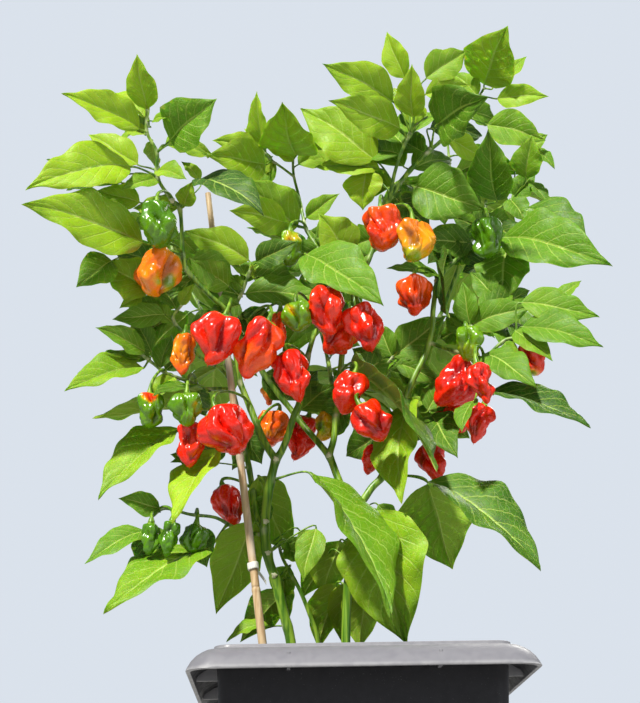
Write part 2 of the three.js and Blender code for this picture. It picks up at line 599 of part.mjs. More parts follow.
// The green cap on a pod, drawn out into the stalk that joins it to the stem.
function stalkSolid({ top, axis, radius }, root, grow = 0) {
  const capFoot = top.clone().addScaledVector(axis, -fitGap);
  const capTop = top.clone().addScaledVector(axis, -capHeight);
  const away = root.at.distanceTo(capTop);
  const curve = new THREE.CubicBezierCurve3(
    root.at, root.at.clone().add(new THREE.Vector3(0, 0, away * stalkRise)),
    capTop.clone().addScaledVector(axis, -away * stalkDrop), capTop);
  const radii = [stalkRadius, stalkRadius * 0.9, stalkRadius * 1.1, radius * capShare];
  return bar([...curve.getPoints(2), capFoot], radii.map((r) => r + grow), stalkSides);
}

// ---- Growing the plant ----

const obstacles = []; // every solid that is already in place, with its node
const nodeSolids = new Map();

// A shoot starts on a stem of its parent, and is cut to fit it later.
const parents = {
  shoot_left_top: 'stem_left', shoot_left_inner: 'stem_right', shoot_left_mid: 'stem_left',
  shoot_left_low: 'stem_left', shoot_lower_left: 'stem_left', shoot_middle: 'stem_left',
  shoot_upper: 'stem_right', shoot_right_top: 'stem_right', shoot_right: 'stem_right',
  shoot_centre_right: 'stem_right', shoot_back_left: 'stem_left', shoot_back_middle: 'stem_right',
  shoot_back_right: 'stem_right',
};

function addObstacle(node, solid, wood = false) {
  obstacles.push({ node, solid, wood, box: solid.boundingBox() });
}

function fuse(node, solid) {
  nodeSolids.set(node, nodeSolids.has(node) ? nodeSolids.get(node).add(solid) : solid);
}

// Whether a solid of a node stays off every solid in place: its own node's don't count, nor do the
// stems that its node is cut to fit.
function isClear(solid, node) {
  const box = solid.boundingBox();
  return obstacles.every((o) => {
    if (o.node === node) return true;
    if (o.wood && (parents[node] === o.node || parents[o.node] === node)) return true;
    if ([0, 1, 2].some((k) => box.min[k] > o.box.max[k] || box.max[k] < o.box.min[k])) return true;
    const shared = solid.intersect(o.solid);
    const apart = shared.isEmpty();
    shared.delete();
    return apart;
  });
}

const stemRows = Object.entries(stems);
const walks = Object.fromEntries(stemRows.map(([name, stem]) => [name, walkStem(stem)]));

for (const [, { node, through, thick }] of stemRows) {
  const points = through.map(spot);
  const radii = through.map((_, i) => THREE.MathUtils.lerp(...thick, i / (through.length - 1)) / 2);
  const sides = thick[0] > 5 ? 6 : 5;
  fuse(node, bar(points, radii, sides));
  addObstacle(node, bar(points, radii.map((r) => r + fitGap), sides), true);
}

const caneLine = caneEnds.map(spot);
const caneWay = caneLine[1].clone().sub(caneLine[0]).normalize();
const caneAt = (share) => caneLine[0].clone().lerp(caneLine[1], share);
const caneShares = [0, ...caneJoints, 1];
const canePoints = caneShares.map(caneAt);
const caneRadii = caneShares.map((share) => THREE.MathUtils.lerp(caneRadius, caneTopRadius, share));
addObstacle('cane', bar(canePoints, caneRadii.map((r) => r + fitGap + tieThick), caneSides));

// A ring round the cane's axis.
function collar(radius, half) {
  const middle = caneAt(tieAlong);
  const ends = [-half, half].map((along) => middle.clone().addScaledVector(caneWay, along));
  return bar(ends, [radius, radius], caneSides);
}

const tieInside = caneRadius + fitGap;
function tieSolid(grow = 0) {
  const end = bar([caneAt(tieAlong), spot(tieEnd)], [tieEndRadius + grow, tieEndRadius + grow], 6);
  return collar(tieInside + tieThick + grow, tieHalf + grow).add(end)
    .subtract(collar(tieInside, tieHalf * 3));
}
addObstacle('cane_tie', tieSolid(fitGap));

const podSolids = pods.map((row, index) => {
  const [stem, across, up] = row;
  const { node } = stems[stem];
  const name = `pod_${String(index + 1).padStart(2, '0')}`;
  for (const shift of podShifts) {
    const frame = podFrame(row, index, shift);
    const root = nearest(walks[stem], across, up + row[5] / 2);
    const guard = podSolid(frame, clearance);
    const stalkGuard = stalkSolid(frame, root, fitGap);
    if (isClear(guard, name) && isClear(stalkGuard, node)) {
      const solid = podSolid(frame);
      addObstacle(name, podSolid(frame, fitGap));
      addObstacle(node, stalkGuard);
      fuse(node, stalkSolid(frame, root));
      return { name, solid, ripe: row[9] };
    }
  }
  return null;
}).filter((pod) => pod);

// Puts a leaf in place if nothing is in its way.
function tryLeaf(node, frame) {
  const guard = leafSolid(frame, fitGap);
  if (!isClear(guard, node)) return false;
  addObstacle(node, guard);
  fuse(node, leafSolid(frame));
  return true;
}

const leafDraw = drawer(leafSeed);
for (const [stem, rows] of Object.entries(leaves)) {
  for (const row of rows) {
    const draw = leafDraw();
    bends.some((bend) => tryLeaf(stems[stem].node, leafFrame(row, walks[stem], bend, draw)));
  }
}

// Triangles that the plant covers on the board, seen from the eye.
const shade = obstacles.flatMap(({ solid }) => {
  const { vertProperties, triVerts } = solid.getMesh();
  const corners = Array.from({ length: vertProperties.length / 3 },
    (_, i) => new THREE.Vector2(...boardPlace(new THREE.Vector3().fromArray(vertProperties, i * 3))));
  return Array.from({ length: triVerts.length / 3 },
    (_, i) => [0, 1, 2].map((k) => corners[triVerts[i * 3 + k]]));
});

function isShaded(point) {
  const place = new THREE.Vector2(...boardPlace(point));
  return shade.some((corners) => {
    const sides = corners.map((a, k) => {
      const b = corners[(k + 1) % 3];
      return Math.sign((b.x - a.x) * (place.y - a.y) - (b.y - a.y) * (place.x - a.x));
    });
    return sides[0] === sides[1] && sides[1] === sides[2];
  });
}

// A drawn leaf that heads away from the viewer.
function backFrame(walk, draw) {
  const between = ([low, high]) => THREE.MathUtils.lerp(low, high, draw());
  const root = walk[Math.floor(between([0.25, 1]) * (walk.length - 1))];
  const heading = (draw() - 0.5) * backSpread;
  const rise = THREE.MathUtils.degToRad(between(backRise));
  const level = new THREE.Vector3(Math.sin(heading), Math.cos(heading), 0);
  const start = level.clone().add(new THREE.Vector3(0, 0, Math.tan(rise))).normalize();
  const foot = root.at.clone().addScaledVector(start, between(backPetiole));
  const length = between(backLength);
  const axis = level.multiplyScalar(Math.cos(rise - backDroop));
  axis.z = Math.sin(rise - backDroop);
  const tip = foot.clone().addScaledVector(axis, length);
  const upper = new THREE.Vector3(draw() - 0.5, draw() - 0.5, 1);
  upper.addScaledVector(axis, -upper.dot(axis)).normalize();
  const half = between(backHalf) * length;
  return {
    root, foot, tip, axis, upper, length, half, fold: backFold, arch: archUsual, large: false,
  };
}

// Only where the plant in front of it hides it from the viewer, which keeps the gaps open.
const backDraw = drawer(backSeed);
for (const [stem, count] of Object.entries(backCount)) {
  let grown = 0;
  for (let tries = 0; tries < backTries * count && grown < count; tries += 1) {
    const frame = backFrame(walks[stem], backDraw);
    const side = new THREE.Vector3().crossVectors(frame.axis, frame.upper);
    const rim = [0, 0.3, 0.6].flatMap((share) => [-1, 1].map((sign) => frame.foot.clone()
      .lerp(frame.tip, share).addScaledVector(side, sign * bladeHalf(share) * frame.half)));
    if ([frame.tip, ...rim].every(isShaded) && tryLeaf(stems[stem].node, frame)) grown += 1;
  }
}

// ---- Meshes ----

const plant = new THREE.Group();

function piece(name, solid, color, roughness, metalness = 0) {
  const material = new THREE.MeshStandardMaterial({ color, roughness, metalness });
  const mesh = new THREE.Mesh(geometryOf(solid), material);
  mesh.name = name;
  plant.add(mesh);
  return mesh;
}

// The largest body of a solid, without loose scraps.
function mainBody(solid) {
  return solid.decompose().reduce((best, body) => (body.volume() > best.volume() ? body : best));
}

const green = { stem_left: 0x6f9a3c, stem_right: 0x6f9a3c, stem_thin: 0x5d8a35 };
const cuts = [];
for (const [node, solid] of nodeSolids) {
  const own = cuts.filter((cut) => cut.node !== node)
    .reduce((rest, cut) => rest.subtract(cut.solid), solid);
  piece(node, mainBody(own), green[node] ?? 0x6da32c, 0.5);
  obstacles.filter((o) => o.node === node).forEach((o) => cuts.push(o));
}

const ripeColours = [0x4d9a12, 0xa8b81c, 0xf2a51e, 0xee5a1c, 0xd3150f];
for (const { name, solid, ripe } of podSolids) {
  piece(name, solid, ripeColours[Math.round(ripe * (ripeColours.length - 1))], 0.15);
}

// Pot: one wall that runs from its floor up, round under the rim, over the lip and down inside.
const rimLowZ = potHeight - rimDrop;
const insideHalf = wallHalfTop - wall;
const potRings = [
  roundSquare(wallHalfBase, cornerBody, 0),
  roundSquare(wallHalfTop, cornerBody, wallTopZ),
  roundSquare(rimHalf - rimEdge, cornerRim, rimLowZ),
  ...rimCurve.map(([inwards, up, wider]) => (
    roundSquare(rimHalf - inwards, cornerRim + wider, rimLowZ + up))),
  roundSquare(lipHalf, cornerBody + 2, potHeight - lipHeight),
  roundSquare(lipHalf, cornerBody + 2, potHeight),
  roundSquare(insideHalf, cornerBody - 1, potHeight),
  roundSquare(wallHalfBase - wall, cornerBody - wall, wall),
];
let potSolid = ringSolid(potRings);

for (const turn of [0, 1, 2, 3].map((quarter) => (quarter * Math.PI) / 2)) {
  for (const along of ribPlaces) {
    const box = new THREE.BoxGeometry(wall, ribDeep, ribHigh)
      .translate(along, ribSink - wallHalfTop - ribDeep / 2, rimLowZ + ribDrop).rotateZ(turn);
    box.deleteAttribute('normal');
    box.deleteAttribute('uv');
    const merged = mergeVertices(box);
    potSolid = potSolid.add(new wasm.Manifold(new wasm.Mesh({
      numProp: 3,
      vertProperties: merged.attributes.position.array,
      triVerts: new Uint32Array(merged.index.array),
    })));
  }
}
for (const x of [-drainPlace, drainPlace]) {
  for (const y of [-drainPlace, drainPlace]) {
    const ends = [-wall, wall * 2].map((z) => new THREE.Vector3(x, y, z));
    potSolid = potSolid.subtract(bar(ends, [drainRadius, drainRadius], drainSides));
  }
}
piece('pot', mainBody(potSolid), 0x8d8f95, 0.45);

// Soil, inside the pot, with holes for the stems and the cane.
const slope = (insideHalf - wallHalfBase + wall) / (potHeight - wall);
const soilHalf = (z) => wallHalfBase - wall + slope * (z - wall) - fitGap;
let soilSolid = ringSolid([
  roundSquare(soilHalf(wall + fitGap), cornerBody - wall, wall + fitGap),
  roundSquare(soilHalf(soilTop), cornerBody - 2, soilTop),
]);
for (const name of ['leftTrunk', 'rightTrunk', 'thinStem']) {
  const points = stems[name].through.slice(0, 3).map(spot);
  const way = points[1].clone().sub(points[0]).normalize();
  points[0].addScaledVector(way, -holeRoom);
  const hole = stems[name].thick[0] / 2 + holeRoom;
  soilSolid = soilSolid.subtract(bar(points, [hole, hole, hole], holeSides));
}
const caneFoot = caneLine[0].clone().addScaledVector(caneWay, -holeRoom);
const caneHole = caneRadius + holeRoom;
soilSolid = soilSolid.subtract(bar([caneFoot, canePoints[1]], [caneHole, caneHole], holeSides));
piece('soil', mainBody(soilSolid), 0x3b2a1e, 0.95);

piece('cane', bar(canePoints, caneRadii, caneSides), 0xc9a878, 0.6);
piece('cane_tie', mainBody(tieSolid()), 0xe6e6dc, 0.6);

export default plant;
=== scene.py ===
# Chilli pepper plant in a square pot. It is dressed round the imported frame, in metres, +Z up.
import math

import bpy
import numpy as np
from mathutils import Matrix, Vector


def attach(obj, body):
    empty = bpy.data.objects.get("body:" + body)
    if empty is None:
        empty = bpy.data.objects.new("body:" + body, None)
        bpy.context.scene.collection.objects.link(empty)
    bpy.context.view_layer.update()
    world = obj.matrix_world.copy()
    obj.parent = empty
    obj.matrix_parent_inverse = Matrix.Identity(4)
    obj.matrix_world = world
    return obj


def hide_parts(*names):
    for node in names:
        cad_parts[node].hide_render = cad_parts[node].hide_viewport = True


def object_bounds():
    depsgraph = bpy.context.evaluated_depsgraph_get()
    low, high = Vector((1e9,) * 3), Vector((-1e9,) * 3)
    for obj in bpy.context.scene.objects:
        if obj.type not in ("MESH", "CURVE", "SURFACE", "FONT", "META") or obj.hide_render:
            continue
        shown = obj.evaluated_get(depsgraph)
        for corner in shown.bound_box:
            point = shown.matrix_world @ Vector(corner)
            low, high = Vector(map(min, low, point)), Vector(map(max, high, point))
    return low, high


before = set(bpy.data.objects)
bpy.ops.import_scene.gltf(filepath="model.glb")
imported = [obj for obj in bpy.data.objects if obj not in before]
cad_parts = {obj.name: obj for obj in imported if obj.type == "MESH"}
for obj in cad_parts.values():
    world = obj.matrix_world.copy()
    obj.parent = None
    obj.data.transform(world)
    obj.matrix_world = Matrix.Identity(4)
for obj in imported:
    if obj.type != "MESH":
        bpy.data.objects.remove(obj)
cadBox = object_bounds()
cadLow, cadHigh = [np.array(corner) for corner in cadBox]

# The place that the plant was measured from. Depths are along Y, in mm. A place on the board
# is [across, up], in mm, on a board square to the sight line.
viewing = {
    "eye": [-0.072, -1.365, 0.078],
    "pitch": 20,                # degrees up
    "swing": 1.9,               # degrees towards +X
    "tilt": 1.2,                # degrees of roll
    "boardAway": 1500,
    "boardMiddle": [320, 349],
    "lens": 76.8,
    "sensor": 36,
    "clip": [0.05, 50],
}
eye = np.array(viewing["eye"])
pitch, swing, tilt = [math.radians(viewing[name]) for name in ("pitch", "swing", "tilt")]
sight = np.array([math.sin(swing) * math.cos(pitch), math.cos(swing) * math.cos(pitch),
                  math.sin(pitch)])
levelRight = np.array([math.cos(swing), -math.sin(swing), 0])
squareUp = np.cross(levelRight, sight)
boardRight = levelRight * math.cos(tilt) - squareUp * math.sin(tilt)
boardUp = squareUp * math.cos(tilt) + levelRight * math.sin(tilt)


def spot(places):
    # Rows of [across, up, depth] to points in metres: along the ray from the eye to that depth.
    across, up, depth = np.moveaxis(np.asarray(places, float), -1, 0)
    ray = (sight * viewing["boardAway"]
           + (across - viewing["boardMiddle"][0])[..., None] * boardRight
           + (up - viewing["boardMiddle"][1])[..., None] * boardUp)
    return eye + ray * ((depth / 1000 - eye[1]) / ray[..., 1])[..., None]


def boardScale(depth):
    # Millimetres of the plant for one of the board, at a depth in mm.
    return (depth - eye[1] * 1000) / (viewing["boardAway"] * math.cos(pitch))


def drawer(seed):
    # Seeded draws from 0 to 1.
    state = seed
    while True:
        state = state * 16807 % 2147483647
        yield state / 2147483647


# Stems: places from foot to end, thickness at both ends in mm.
stems = {
    "leftTrunk": {"node": "stem_left", "thick": [9.4, 7.8], "through": [
        [298, -21, 0], [296, 3, 0], [291, 58, -3], [283, 90, -6], [276, 120, -9], [269, 140, -11],
        [265, 170, -13], [268, 205, -14], [272, 225, -15], [276, 241, -15]]},
    "leftArm": {"node": "stem_left", "thick": [7.2, 5.8], "through": [
        [276, 241, -15], [268, 252, -14], [260, 268, -12], [252, 288, -9], [246, 303, -6],
        [240, 318, -3]]},
    "innerArm": {"node": "stem_left", "thick": [7, 5.2], "through": [
        [276, 241, -15], [282, 250, -18], [288, 265, -22], [294, 285, -26], [299, 297, -28],
        [304, 320, -28], [308, 345, -25]]},
    "backArm": {"node": "stem_left", "thick": [6, 4.8], "through": [
        [264, 170, -12], [257, 186, -4], [253, 208, 0], [249, 232, 4], [246, 248, 6],
        [241, 272, 8], [236, 295, 8], [231, 318, 6]]},
    "rightTrunk": {"node": "stem_right", "thick": [8.4, 7.6], "through": [
        [346, -21, -20], [346, 3, -20], [346, 60, -20], [347, 97, -20], [350, 130, -22],
        [355, 160, -24], [355, 193, -25]]},
    "rightLeftArm": {"node": "stem_right", "thick": [7.4, 6.6], "through": [
        [355, 193, -25], [346, 205, -22], [338, 222, -18], [332, 238, -15], [329, 245, -14]]},
    "crossArm": {"node": "stem_right", "thick": [6.2, 4.8], "through": [
        [329, 245, -14], [318, 258, -8], [305, 273, 0], [290, 292, 6], [277, 308, 9],
        [262, 330, 11], [252, 352, 12]]},
    "middleArm": {"node": "stem_right", "thick": [6.2, 5.2], "through": [
        [329, 245, -14], [334, 262, -14], [336, 285, -12], [340, 315, -8], [342, 345, -5],
        [347, 372, 0], [354, 398, 4], [360, 420, 6]]},
    "outerArm": {"node": "stem_right", "thick": [7.4, 4.8], "through": [
        [355, 193, -25], [363, 200, -24], [372, 213, -22], [383, 225, -20], [387, 245, -18],
        [394, 270, -16], [403, 297, -14], [415, 325, -12], [425, 345, -10], [432, 370, -8],
        [433, 390, -6], [437, 420, -4]]},
    "thinStem": {"node": "stem_thin", "thick": [4.6, 3], "through": [
        [322, -21, 12], [320, 20, 10], [318, 60, 8], [310, 85, 4], [300, 110, 0], [288, 132, 4],
        [282, 144, 10], [279, 156, 16]]},
    "leftTop": {"node": "shoot_left_top", "thick": [5.6, 2.6], "through": [
        [240, 318, -3], [236, 345, -5], [234, 370, -10], [228, 388, -16], [212, 403, -26],
        [200, 415, -32], [187, 430, -38], [183, 445, -42], [180, 491, -52], [172, 500, -56],
        [157, 524, -62], [157, 548, -70], [147, 568, -75], [147, 591, -80]]},
    "innerTwig": {"node": "shoot_left_inner", "thick": [4.2, 2.4], "through": [
        [252, 352, 12], [246, 370, 8], [240, 385, 2], [237, 397, -4], [243, 410, -8],
        [250, 430, -12]]},
    "midTwig": {"node": "shoot_left_mid", "thick": [3.6, 2.4], "through": [
        [231, 318, 6], [222, 330, -4], [210, 338, -12], [198, 345, -20], [185, 365, -30],
        [173, 382, -38], [182, 396, -44]]},
    "lowTwig": {"node": "shoot_left_low", "thick": [3.6, 2.4], "through": [
        [232, 310, 6], [222, 312, -2], [206, 312, -10], [186, 320, -18], [165, 328, -26],
        [152, 338, -32], [140, 347, -36]]},
    "lowerLeft": {"node": "shoot_lower_left", "thick": [3.8, 2.4], "through": [
        [260, 166, -8], [248, 168, 2], [232, 174, 4], [215, 183, -2], [190, 186, -12],
        [165, 192, -24], [152, 184, -30]]},
    "middleTop": {"node": "shoot_middle", "thick": [5, 2.6], "through": [
        [308, 345, -25], [313, 362, -16], [320, 382, -4], [326, 405, 6], [327, 432, 14],
        [316, 455, 22], [306, 472, 28], [300, 500, 38], [294, 524, 46], [293, 541, 52]]},
    "middleSide": {"node": "shoot_middle", "thick": [2.6, 2.2], "through": [
        [294, 524, 46], [282, 533, 46], [272, 540, 44], [264, 548, 42]]},
    "upperMain": {"node": "shoot_upper", "thick": [5.4, 4.4], "through": [
        [360, 420, 6], [366, 434, 8], [378, 465, 8], [385, 490, 6], [392, 506, 4], [410, 530, -2],
        [425, 545, -8], [431, 552, -10]]},
    "upperRight": {"node": "shoot_upper", "thick": [4, 2.6], "through": [
        [427, 548, -9], [443, 561, 2], [455, 572, 12], [468, 588, 24], [478, 602, 34],
        [484, 612, 42]]},
    "upperLeft": {"node": "shoot_upper", "thick": [4.2, 2.8], "through": [
        [386, 493, 6], [391, 508, 0], [394, 525, -8], [400, 545, -18], [405, 556, -24],
        [411, 568, -30]]},
    "rightTop": {"node": "shoot_right_top", "thick": [4.6, 3], "through": [
        [437, 420, -4], [445, 430, 0], [455, 440, 6], [465, 452, 14], [475, 465, 22],
        [484, 482, 32], [486, 500, 38]]},
    "rightTopOut": {"node": "shoot_right_top", "thick": [3, 2.4], "through": [
        [484, 482, 32], [497, 491, 36], [512, 500, 40]]},
    "rightTwig": {"node": "shoot_right", "thick": [4, 2.6], "through": [
        [432, 357, -9], [445, 352, -16], [460, 348, -24], [475, 345, -32], [484, 342, -38],
        [495, 352, -42], [506, 361, -44], [516, 362, -46]]},
    "rightBack": {"node": "shoot_right", "thick": [2.8, 2.2], "through": [
        [460, 348, -24], [464, 360, -20], [470, 373, -18], [482, 380, -14]]},
    "centreTwig": {"node": "shoot_centre_right", "thick": [3, 2], "through": [
        [342, 322, -7], [352, 320, -2], [365, 322, 4], [377, 328, 10], [386, 336, 14],
        [393, 344, 16]]},
    "spur": {"node": "shoot_centre_right", "thick": [2.8, 2.2], "through": [
        [377, 328, 10], [392, 318, 16], [408, 300, 18], [422, 296, 20], [430, 290, 22]]},
    "backLeft": {"node": "shoot_back_left", "thick": [4.6, 2.6], "through": [
        [236, 295, 8], [232, 310, 30], [226, 335, 52], [214, 365, 72], [196, 400, 92],
        [176, 440, 108], [164, 480, 118]]},
    "backMiddle": {"node": "shoot_back_middle", "thick": [5, 2.6], "through": [
        [336, 285, -12], [334, 300, 14], [330, 330, 40], [322, 365, 62], [310, 405, 82],
        [300, 440, 96], [285, 485, 110]]},
    "backRight": {"node": "shoot_back_right", "thick": [5, 2.6], "through": [
        [403, 297, -14], [408, 312, 12], [420, 340, 36], [436, 375, 56], [450, 410, 76],
        [462, 455, 92], [452, 510, 104], [448, 555, 108]]},
}

# Leaves by stem: [across and up of the blade's foot, across, up and depth of its tip, width
# seen, 1 for the upper face or -1 for the underside, arch, tone from 0 to 10]. The tone is the
# leaf's own green together with painted light and shade: leaves that stood in shade are darker,
# sunlit ones brighter. Rows of seven numbers show the upper face and have the usual arch.
leaves = {
    "leftTop": [
        [147, 591, 137, 647, -115, 34, 9], [140, 572, 61, 607, -120, 34, 9],
        [153, 580, 170, 584, -105, 10, 7], [170, 560, 217, 602, -125, 58, 5],
        [130, 534, 25, 510, -115, 46, 1, 0.22, 9], [138, 536, 88, 566, -50, 34, 10],
        [157, 530, 187, 521, -90, 18, 7], [156, 522, 121, 510, -90, 20, 6],
        [122, 518, 46, 541, -60, 36, 4], [184, 494, 192, 519, -70, 22, 8],
        [199, 521, 264, 484, -125, 36, 1, 0.2, 1], [143, 458, 21, 496, -130, 54, 8],
        [140, 498, 96, 510, -60, 28, 8], [178, 492, 133, 492, -30, 24, 8],
        [112, 440, 76, 413, -75, 38, 5], [150, 408, 103, 438, -90, 44, 7],
        [195, 396, 281, 386, -120, 36, 1, -0.14, 3]],
    "innerTwig": [
        [249, 440, 184, 470, -15, 36, 1, 0.2, 8], [229, 414, 188, 440, -35, 32, 6],
        [256, 438, 299, 459, -35, 30, 2], [245, 407, 330, 400, -20, 34, 1, 0.16, 5]],
    "midTwig": [
        [165, 386, 112, 381, -40, 26, 4]],
    "lowTwig": [
        [145, 349, 95, 373, -70, 24, 5], [152, 348, 136, 384, -20, 26, 3],
        [143, 333, 64, 309, -80, 27, 7], [140, 342, 77, 327, -40, 22, 6],
        [174, 324, 146, 297, -50, 20, 8], [210, 310, 92, 282, -90, 13, 1, -0.08, 7]],
    "backArm": [
        [180, 272, 98, 200, -75, 40, 7], [224, 252, 172, 176, -85, 36, 9],
        [226, 250, 170, 238, -20, 26, 2]],
    "lowerLeft": [
        [145, 170, 84, 136, -70, 24, 5], [208, 152, 103, 86, -95, 38, 6],
        [196, 172, 207, 133, -10, 34, 2], [150, 174, 160, 126, -20, 38, 2],
        [160, 192, 118, 202, -45, 24, 5]],
    "leftTrunk": [
        [254, 178, 216, 86, 10, 50, -1, 0.12, 9], [258, 224, 294, 142, 20, 48, -1, 0.12, 8],
        [284, 107, 240, 58, 30, 36, -1, 0.12, 3], [312, 226, 390, 82, -85, 38, 5],
        [316, 172, 303, 118, -25, 28, 6]],
    "thinStem": [
        [284, 152, 308, 141, -2, 20, 5], [283, 122, 288, 76, 22, 22, -1, 0.12, 5]],
    "rightTrunk": [
        [340, 160, 322, 100, 8, 40, -1, 0.12, 8], [337, 118, 318, 50, 16, 38, -1, 0.12, 8],
        [366, 114, 360, 50, 12, 42, -1, 0.12, 8], [376, 190, 408, 54, -95, 86, 7]],
    "outerArm": [
        [428, 219, 541, 129, -85, 38, 1, 0.16, 2], [428, 217, 453, 131, 0, 74, -1, 0.12, 7],
        [410, 300, 402, 196, -60, 40, 8]],
    "middleArm": [
        [352, 333, 437, 228, -115, 13, 2]],
    "centreTwig": [
        [393, 343, 446, 384, 10, 38, 4], [396, 338, 441, 318, 12, 24, 4]],
    "spur": [
        [430, 286, 458, 242, 20, 30, 3]],
    "rightTwig": [
        [485, 347, 537, 312, -65, 26, 4], [488, 308, 591, 272, -90, 20, 1],
        [505, 358, 519, 323, -40, 20, 6], [522, 374, 604, 353, -85, 34, 4],
        [515, 370, 553, 339, -50, 22, 6], [521, 398, 600, 383, -60, 33, 6]],
    "rightBack": [
        [472, 376, 536, 396, -45, 34, 5], [470, 377, 463, 419, -25, 26, 5],
        [497, 402, 470, 428, 5, 25, 4]],
    "rightTop": [
        [503, 463, 613, 434, -55, 54, 1, 0.16, 4], [497, 500, 488, 572, -35, 48, 4],
        [508, 454, 500, 392, -10, 54, 5], [481, 485, 450, 490, 5, 22, 5],
        [488, 482, 512, 476, 45, 24, 5], [472, 458, 414, 458, 0, 36, 3],
        [440, 424, 386, 432, -30, 15, 3], [447, 450, 450, 382, -50, 12, 2]],
    "rightTopOut": [
        [527, 493, 590, 446, -15, 38, 1, 0.18, 3], [526, 522, 532, 566, 0, 34, 6],
        [537, 552, 555, 531, 25, 13, 5]],
    "middleTop": [
        [296, 545, 282, 599, -30, 60, 8], [298, 474, 236, 520, -15, 50, 7],
        [286, 478, 229, 490, -30, 36, 8], [306, 483, 340, 507, 10, 22, 7]],
    "middleSide": [
        [264, 552, 257, 610, 10, 22, 8], [266, 536, 206, 545, 0, 44, 8],
        [264, 552, 212, 560, 40, 26, 9]],
    "upperMain": [
        [376, 540, 300, 592, 20, 60, 8], [380, 532, 314, 533, 30, 27, 8],
        [366, 530, 363, 490, 25, 42, 9], [437, 576, 489, 604, -125, 62, 3],
        [414, 514, 485, 490, -15, 62, 1, 0.16, 4], [349, 444, 318, 487, -20, 46, 8],
        [306, 446, 384, 394, -85, 52, 5], [448, 562, 484, 542, 30, 26, 8],
        [400, 508, 419, 486, 30, 20, 6]],
    "upperLeft": [
        [393, 599, 322, 637, -70, 46, 8], [400, 572, 328, 600, -80, 42, 8],
        [405, 622, 387, 669, -40, 30, 9], [426, 622, 467, 650, -30, 36, 7],
        [413, 583, 412, 637, -75, 34, 8], [425, 606, 469, 616, -25, 26, 8]],
    "upperRight": [
        [484, 616, 508, 675, -25, 60, 8], [492, 612, 527, 644, 45, 24, 7],
        [497, 602, 549, 604, 10, 26, 8], [487, 576, 546, 560, 20, 40, 1, 0.16, 6]],
}

# Pods: [stem, across, up and depth of the middle, width and height seen, across and up of the
# point that the tip aims at, how pointed it is, ripeness from 0 to 1].
pods = [
    ["leftTop", 159, 473, -95, 39, 45, 161, 449, 0.1, 0],
    ["leftTop", 157, 425, -95, 45, 47, 152, 400, 0.2, 0.55],
    ["midTwig", 183, 344, -62, 25, 42, 181, 324, 0.7, 0.62],
    ["leftTop", 215, 358, -85, 44, 52, 204, 329, 0.6, 0.92],
    ["innerTwig", 255, 348, -80, 40, 62, 240, 313, 0.8, 0.76],
    ["innerTwig", 278, 368, -45, 18, 38, 276, 350, 0.4, 0.78],
    ["middleTop", 298, 382, -50, 30, 28, 300, 366, 0.2, 0.15],
    ["middleTop", 328, 387, -62, 36, 48, 330, 361, 0.5, 0.84],
    ["middleTop", 335, 362, -50, 37, 38, 322, 345, 0.7, 0.8],
    ["middleArm", 366, 370, -50, 36, 48, 373, 345, 0.8, 0.95],
    ["upperMain", 383, 469, -50, 41, 42, 385, 449, 0.1, 0.74],
    ["upperMain", 414, 457, -48, 38, 40, 415, 438, 0, 0.55],
    ["rightTop", 414, 402, -40, 35, 38, 414, 383, 0.8, 0.76],
    ["rightTop", 487, 460, -20, 35, 38, 487, 440, 0, 0],
    ["rightTwig", 468, 355, -50, 30, 33, 470, 338, 0.3, 0.22],
    ["rightTwig", 453, 314, -62, 42, 53, 437, 287, 0.7, 0.95],
    ["rightTwig", 482, 315, -56, 24, 42, 487, 293, 0.8, 0.92],
    ["rightTwig", 450, 278, -48, 31, 33, 437, 262, 0.8, 0.95],
    ["rightTwig", 478, 275, -56, 24, 40, 472, 255, 0.9, 0.92],
    ["rightTwig", 531, 339, -50, 28, 33, 538, 322, 0.2, 0.8],
    ["innerArm", 294, 321, -66, 36, 53, 302, 294, 0.8, 0.95],
    ["middleArm", 348, 305, -56, 34, 42, 341, 283, 0.7, 0.93],
    ["outerArm", 373, 276, -62, 36, 42, 387, 255, 0.6, 0.93],
    ["leftArm", 228, 267, -75, 47, 49, 240, 243, 0.2, 0.95],
    ["backArm", 191, 253, -45, 28, 45, 190, 230, 0.4, 0.95],
    ["lowTwig", 187, 289, -50, 30, 32, 187, 274, 0.1, 0.12],
    ["lowTwig", 150, 288, -50, 28, 34, 150, 270, 0.1, 0.1],
    ["backArm", 229, 191, -55, 29, 45, 235, 169, 0.6, 0.95],
    ["lowerLeft", 150, 160, -50, 18, 32, 149, 145, 0.5, 0],
    ["lowerLeft", 168, 160, -56, 18, 36, 164, 142, 0.6, 0],
    ["lowerLeft", 194, 160, -45, 25, 28, 192, 147, 0.2, 0],
    ["leftArm", 273, 269, 25, 35, 35, 268, 252, 0.6, 0.68],
    ["crossArm", 300, 260, 30, 27, 46, 292, 237, 0.7, 0.93],
    ["middleArm", 325, 272, 14, 21, 29, 322, 258, 0.3, 0.42],
    ["crossArm", 270, 308, 38, 16, 28, 268, 295, 0.4, 0.55],
    ["outerArm", 372, 239, -6, 20, 31, 366, 224, 0.8, 0.95],
    ["outerArm", 433, 235, 10, 27, 40, 436, 215, 0.6, 0.95],
    ["middleTop", 290, 450, -5, 24, 34, 290, 434, 0.2, 0.1]]

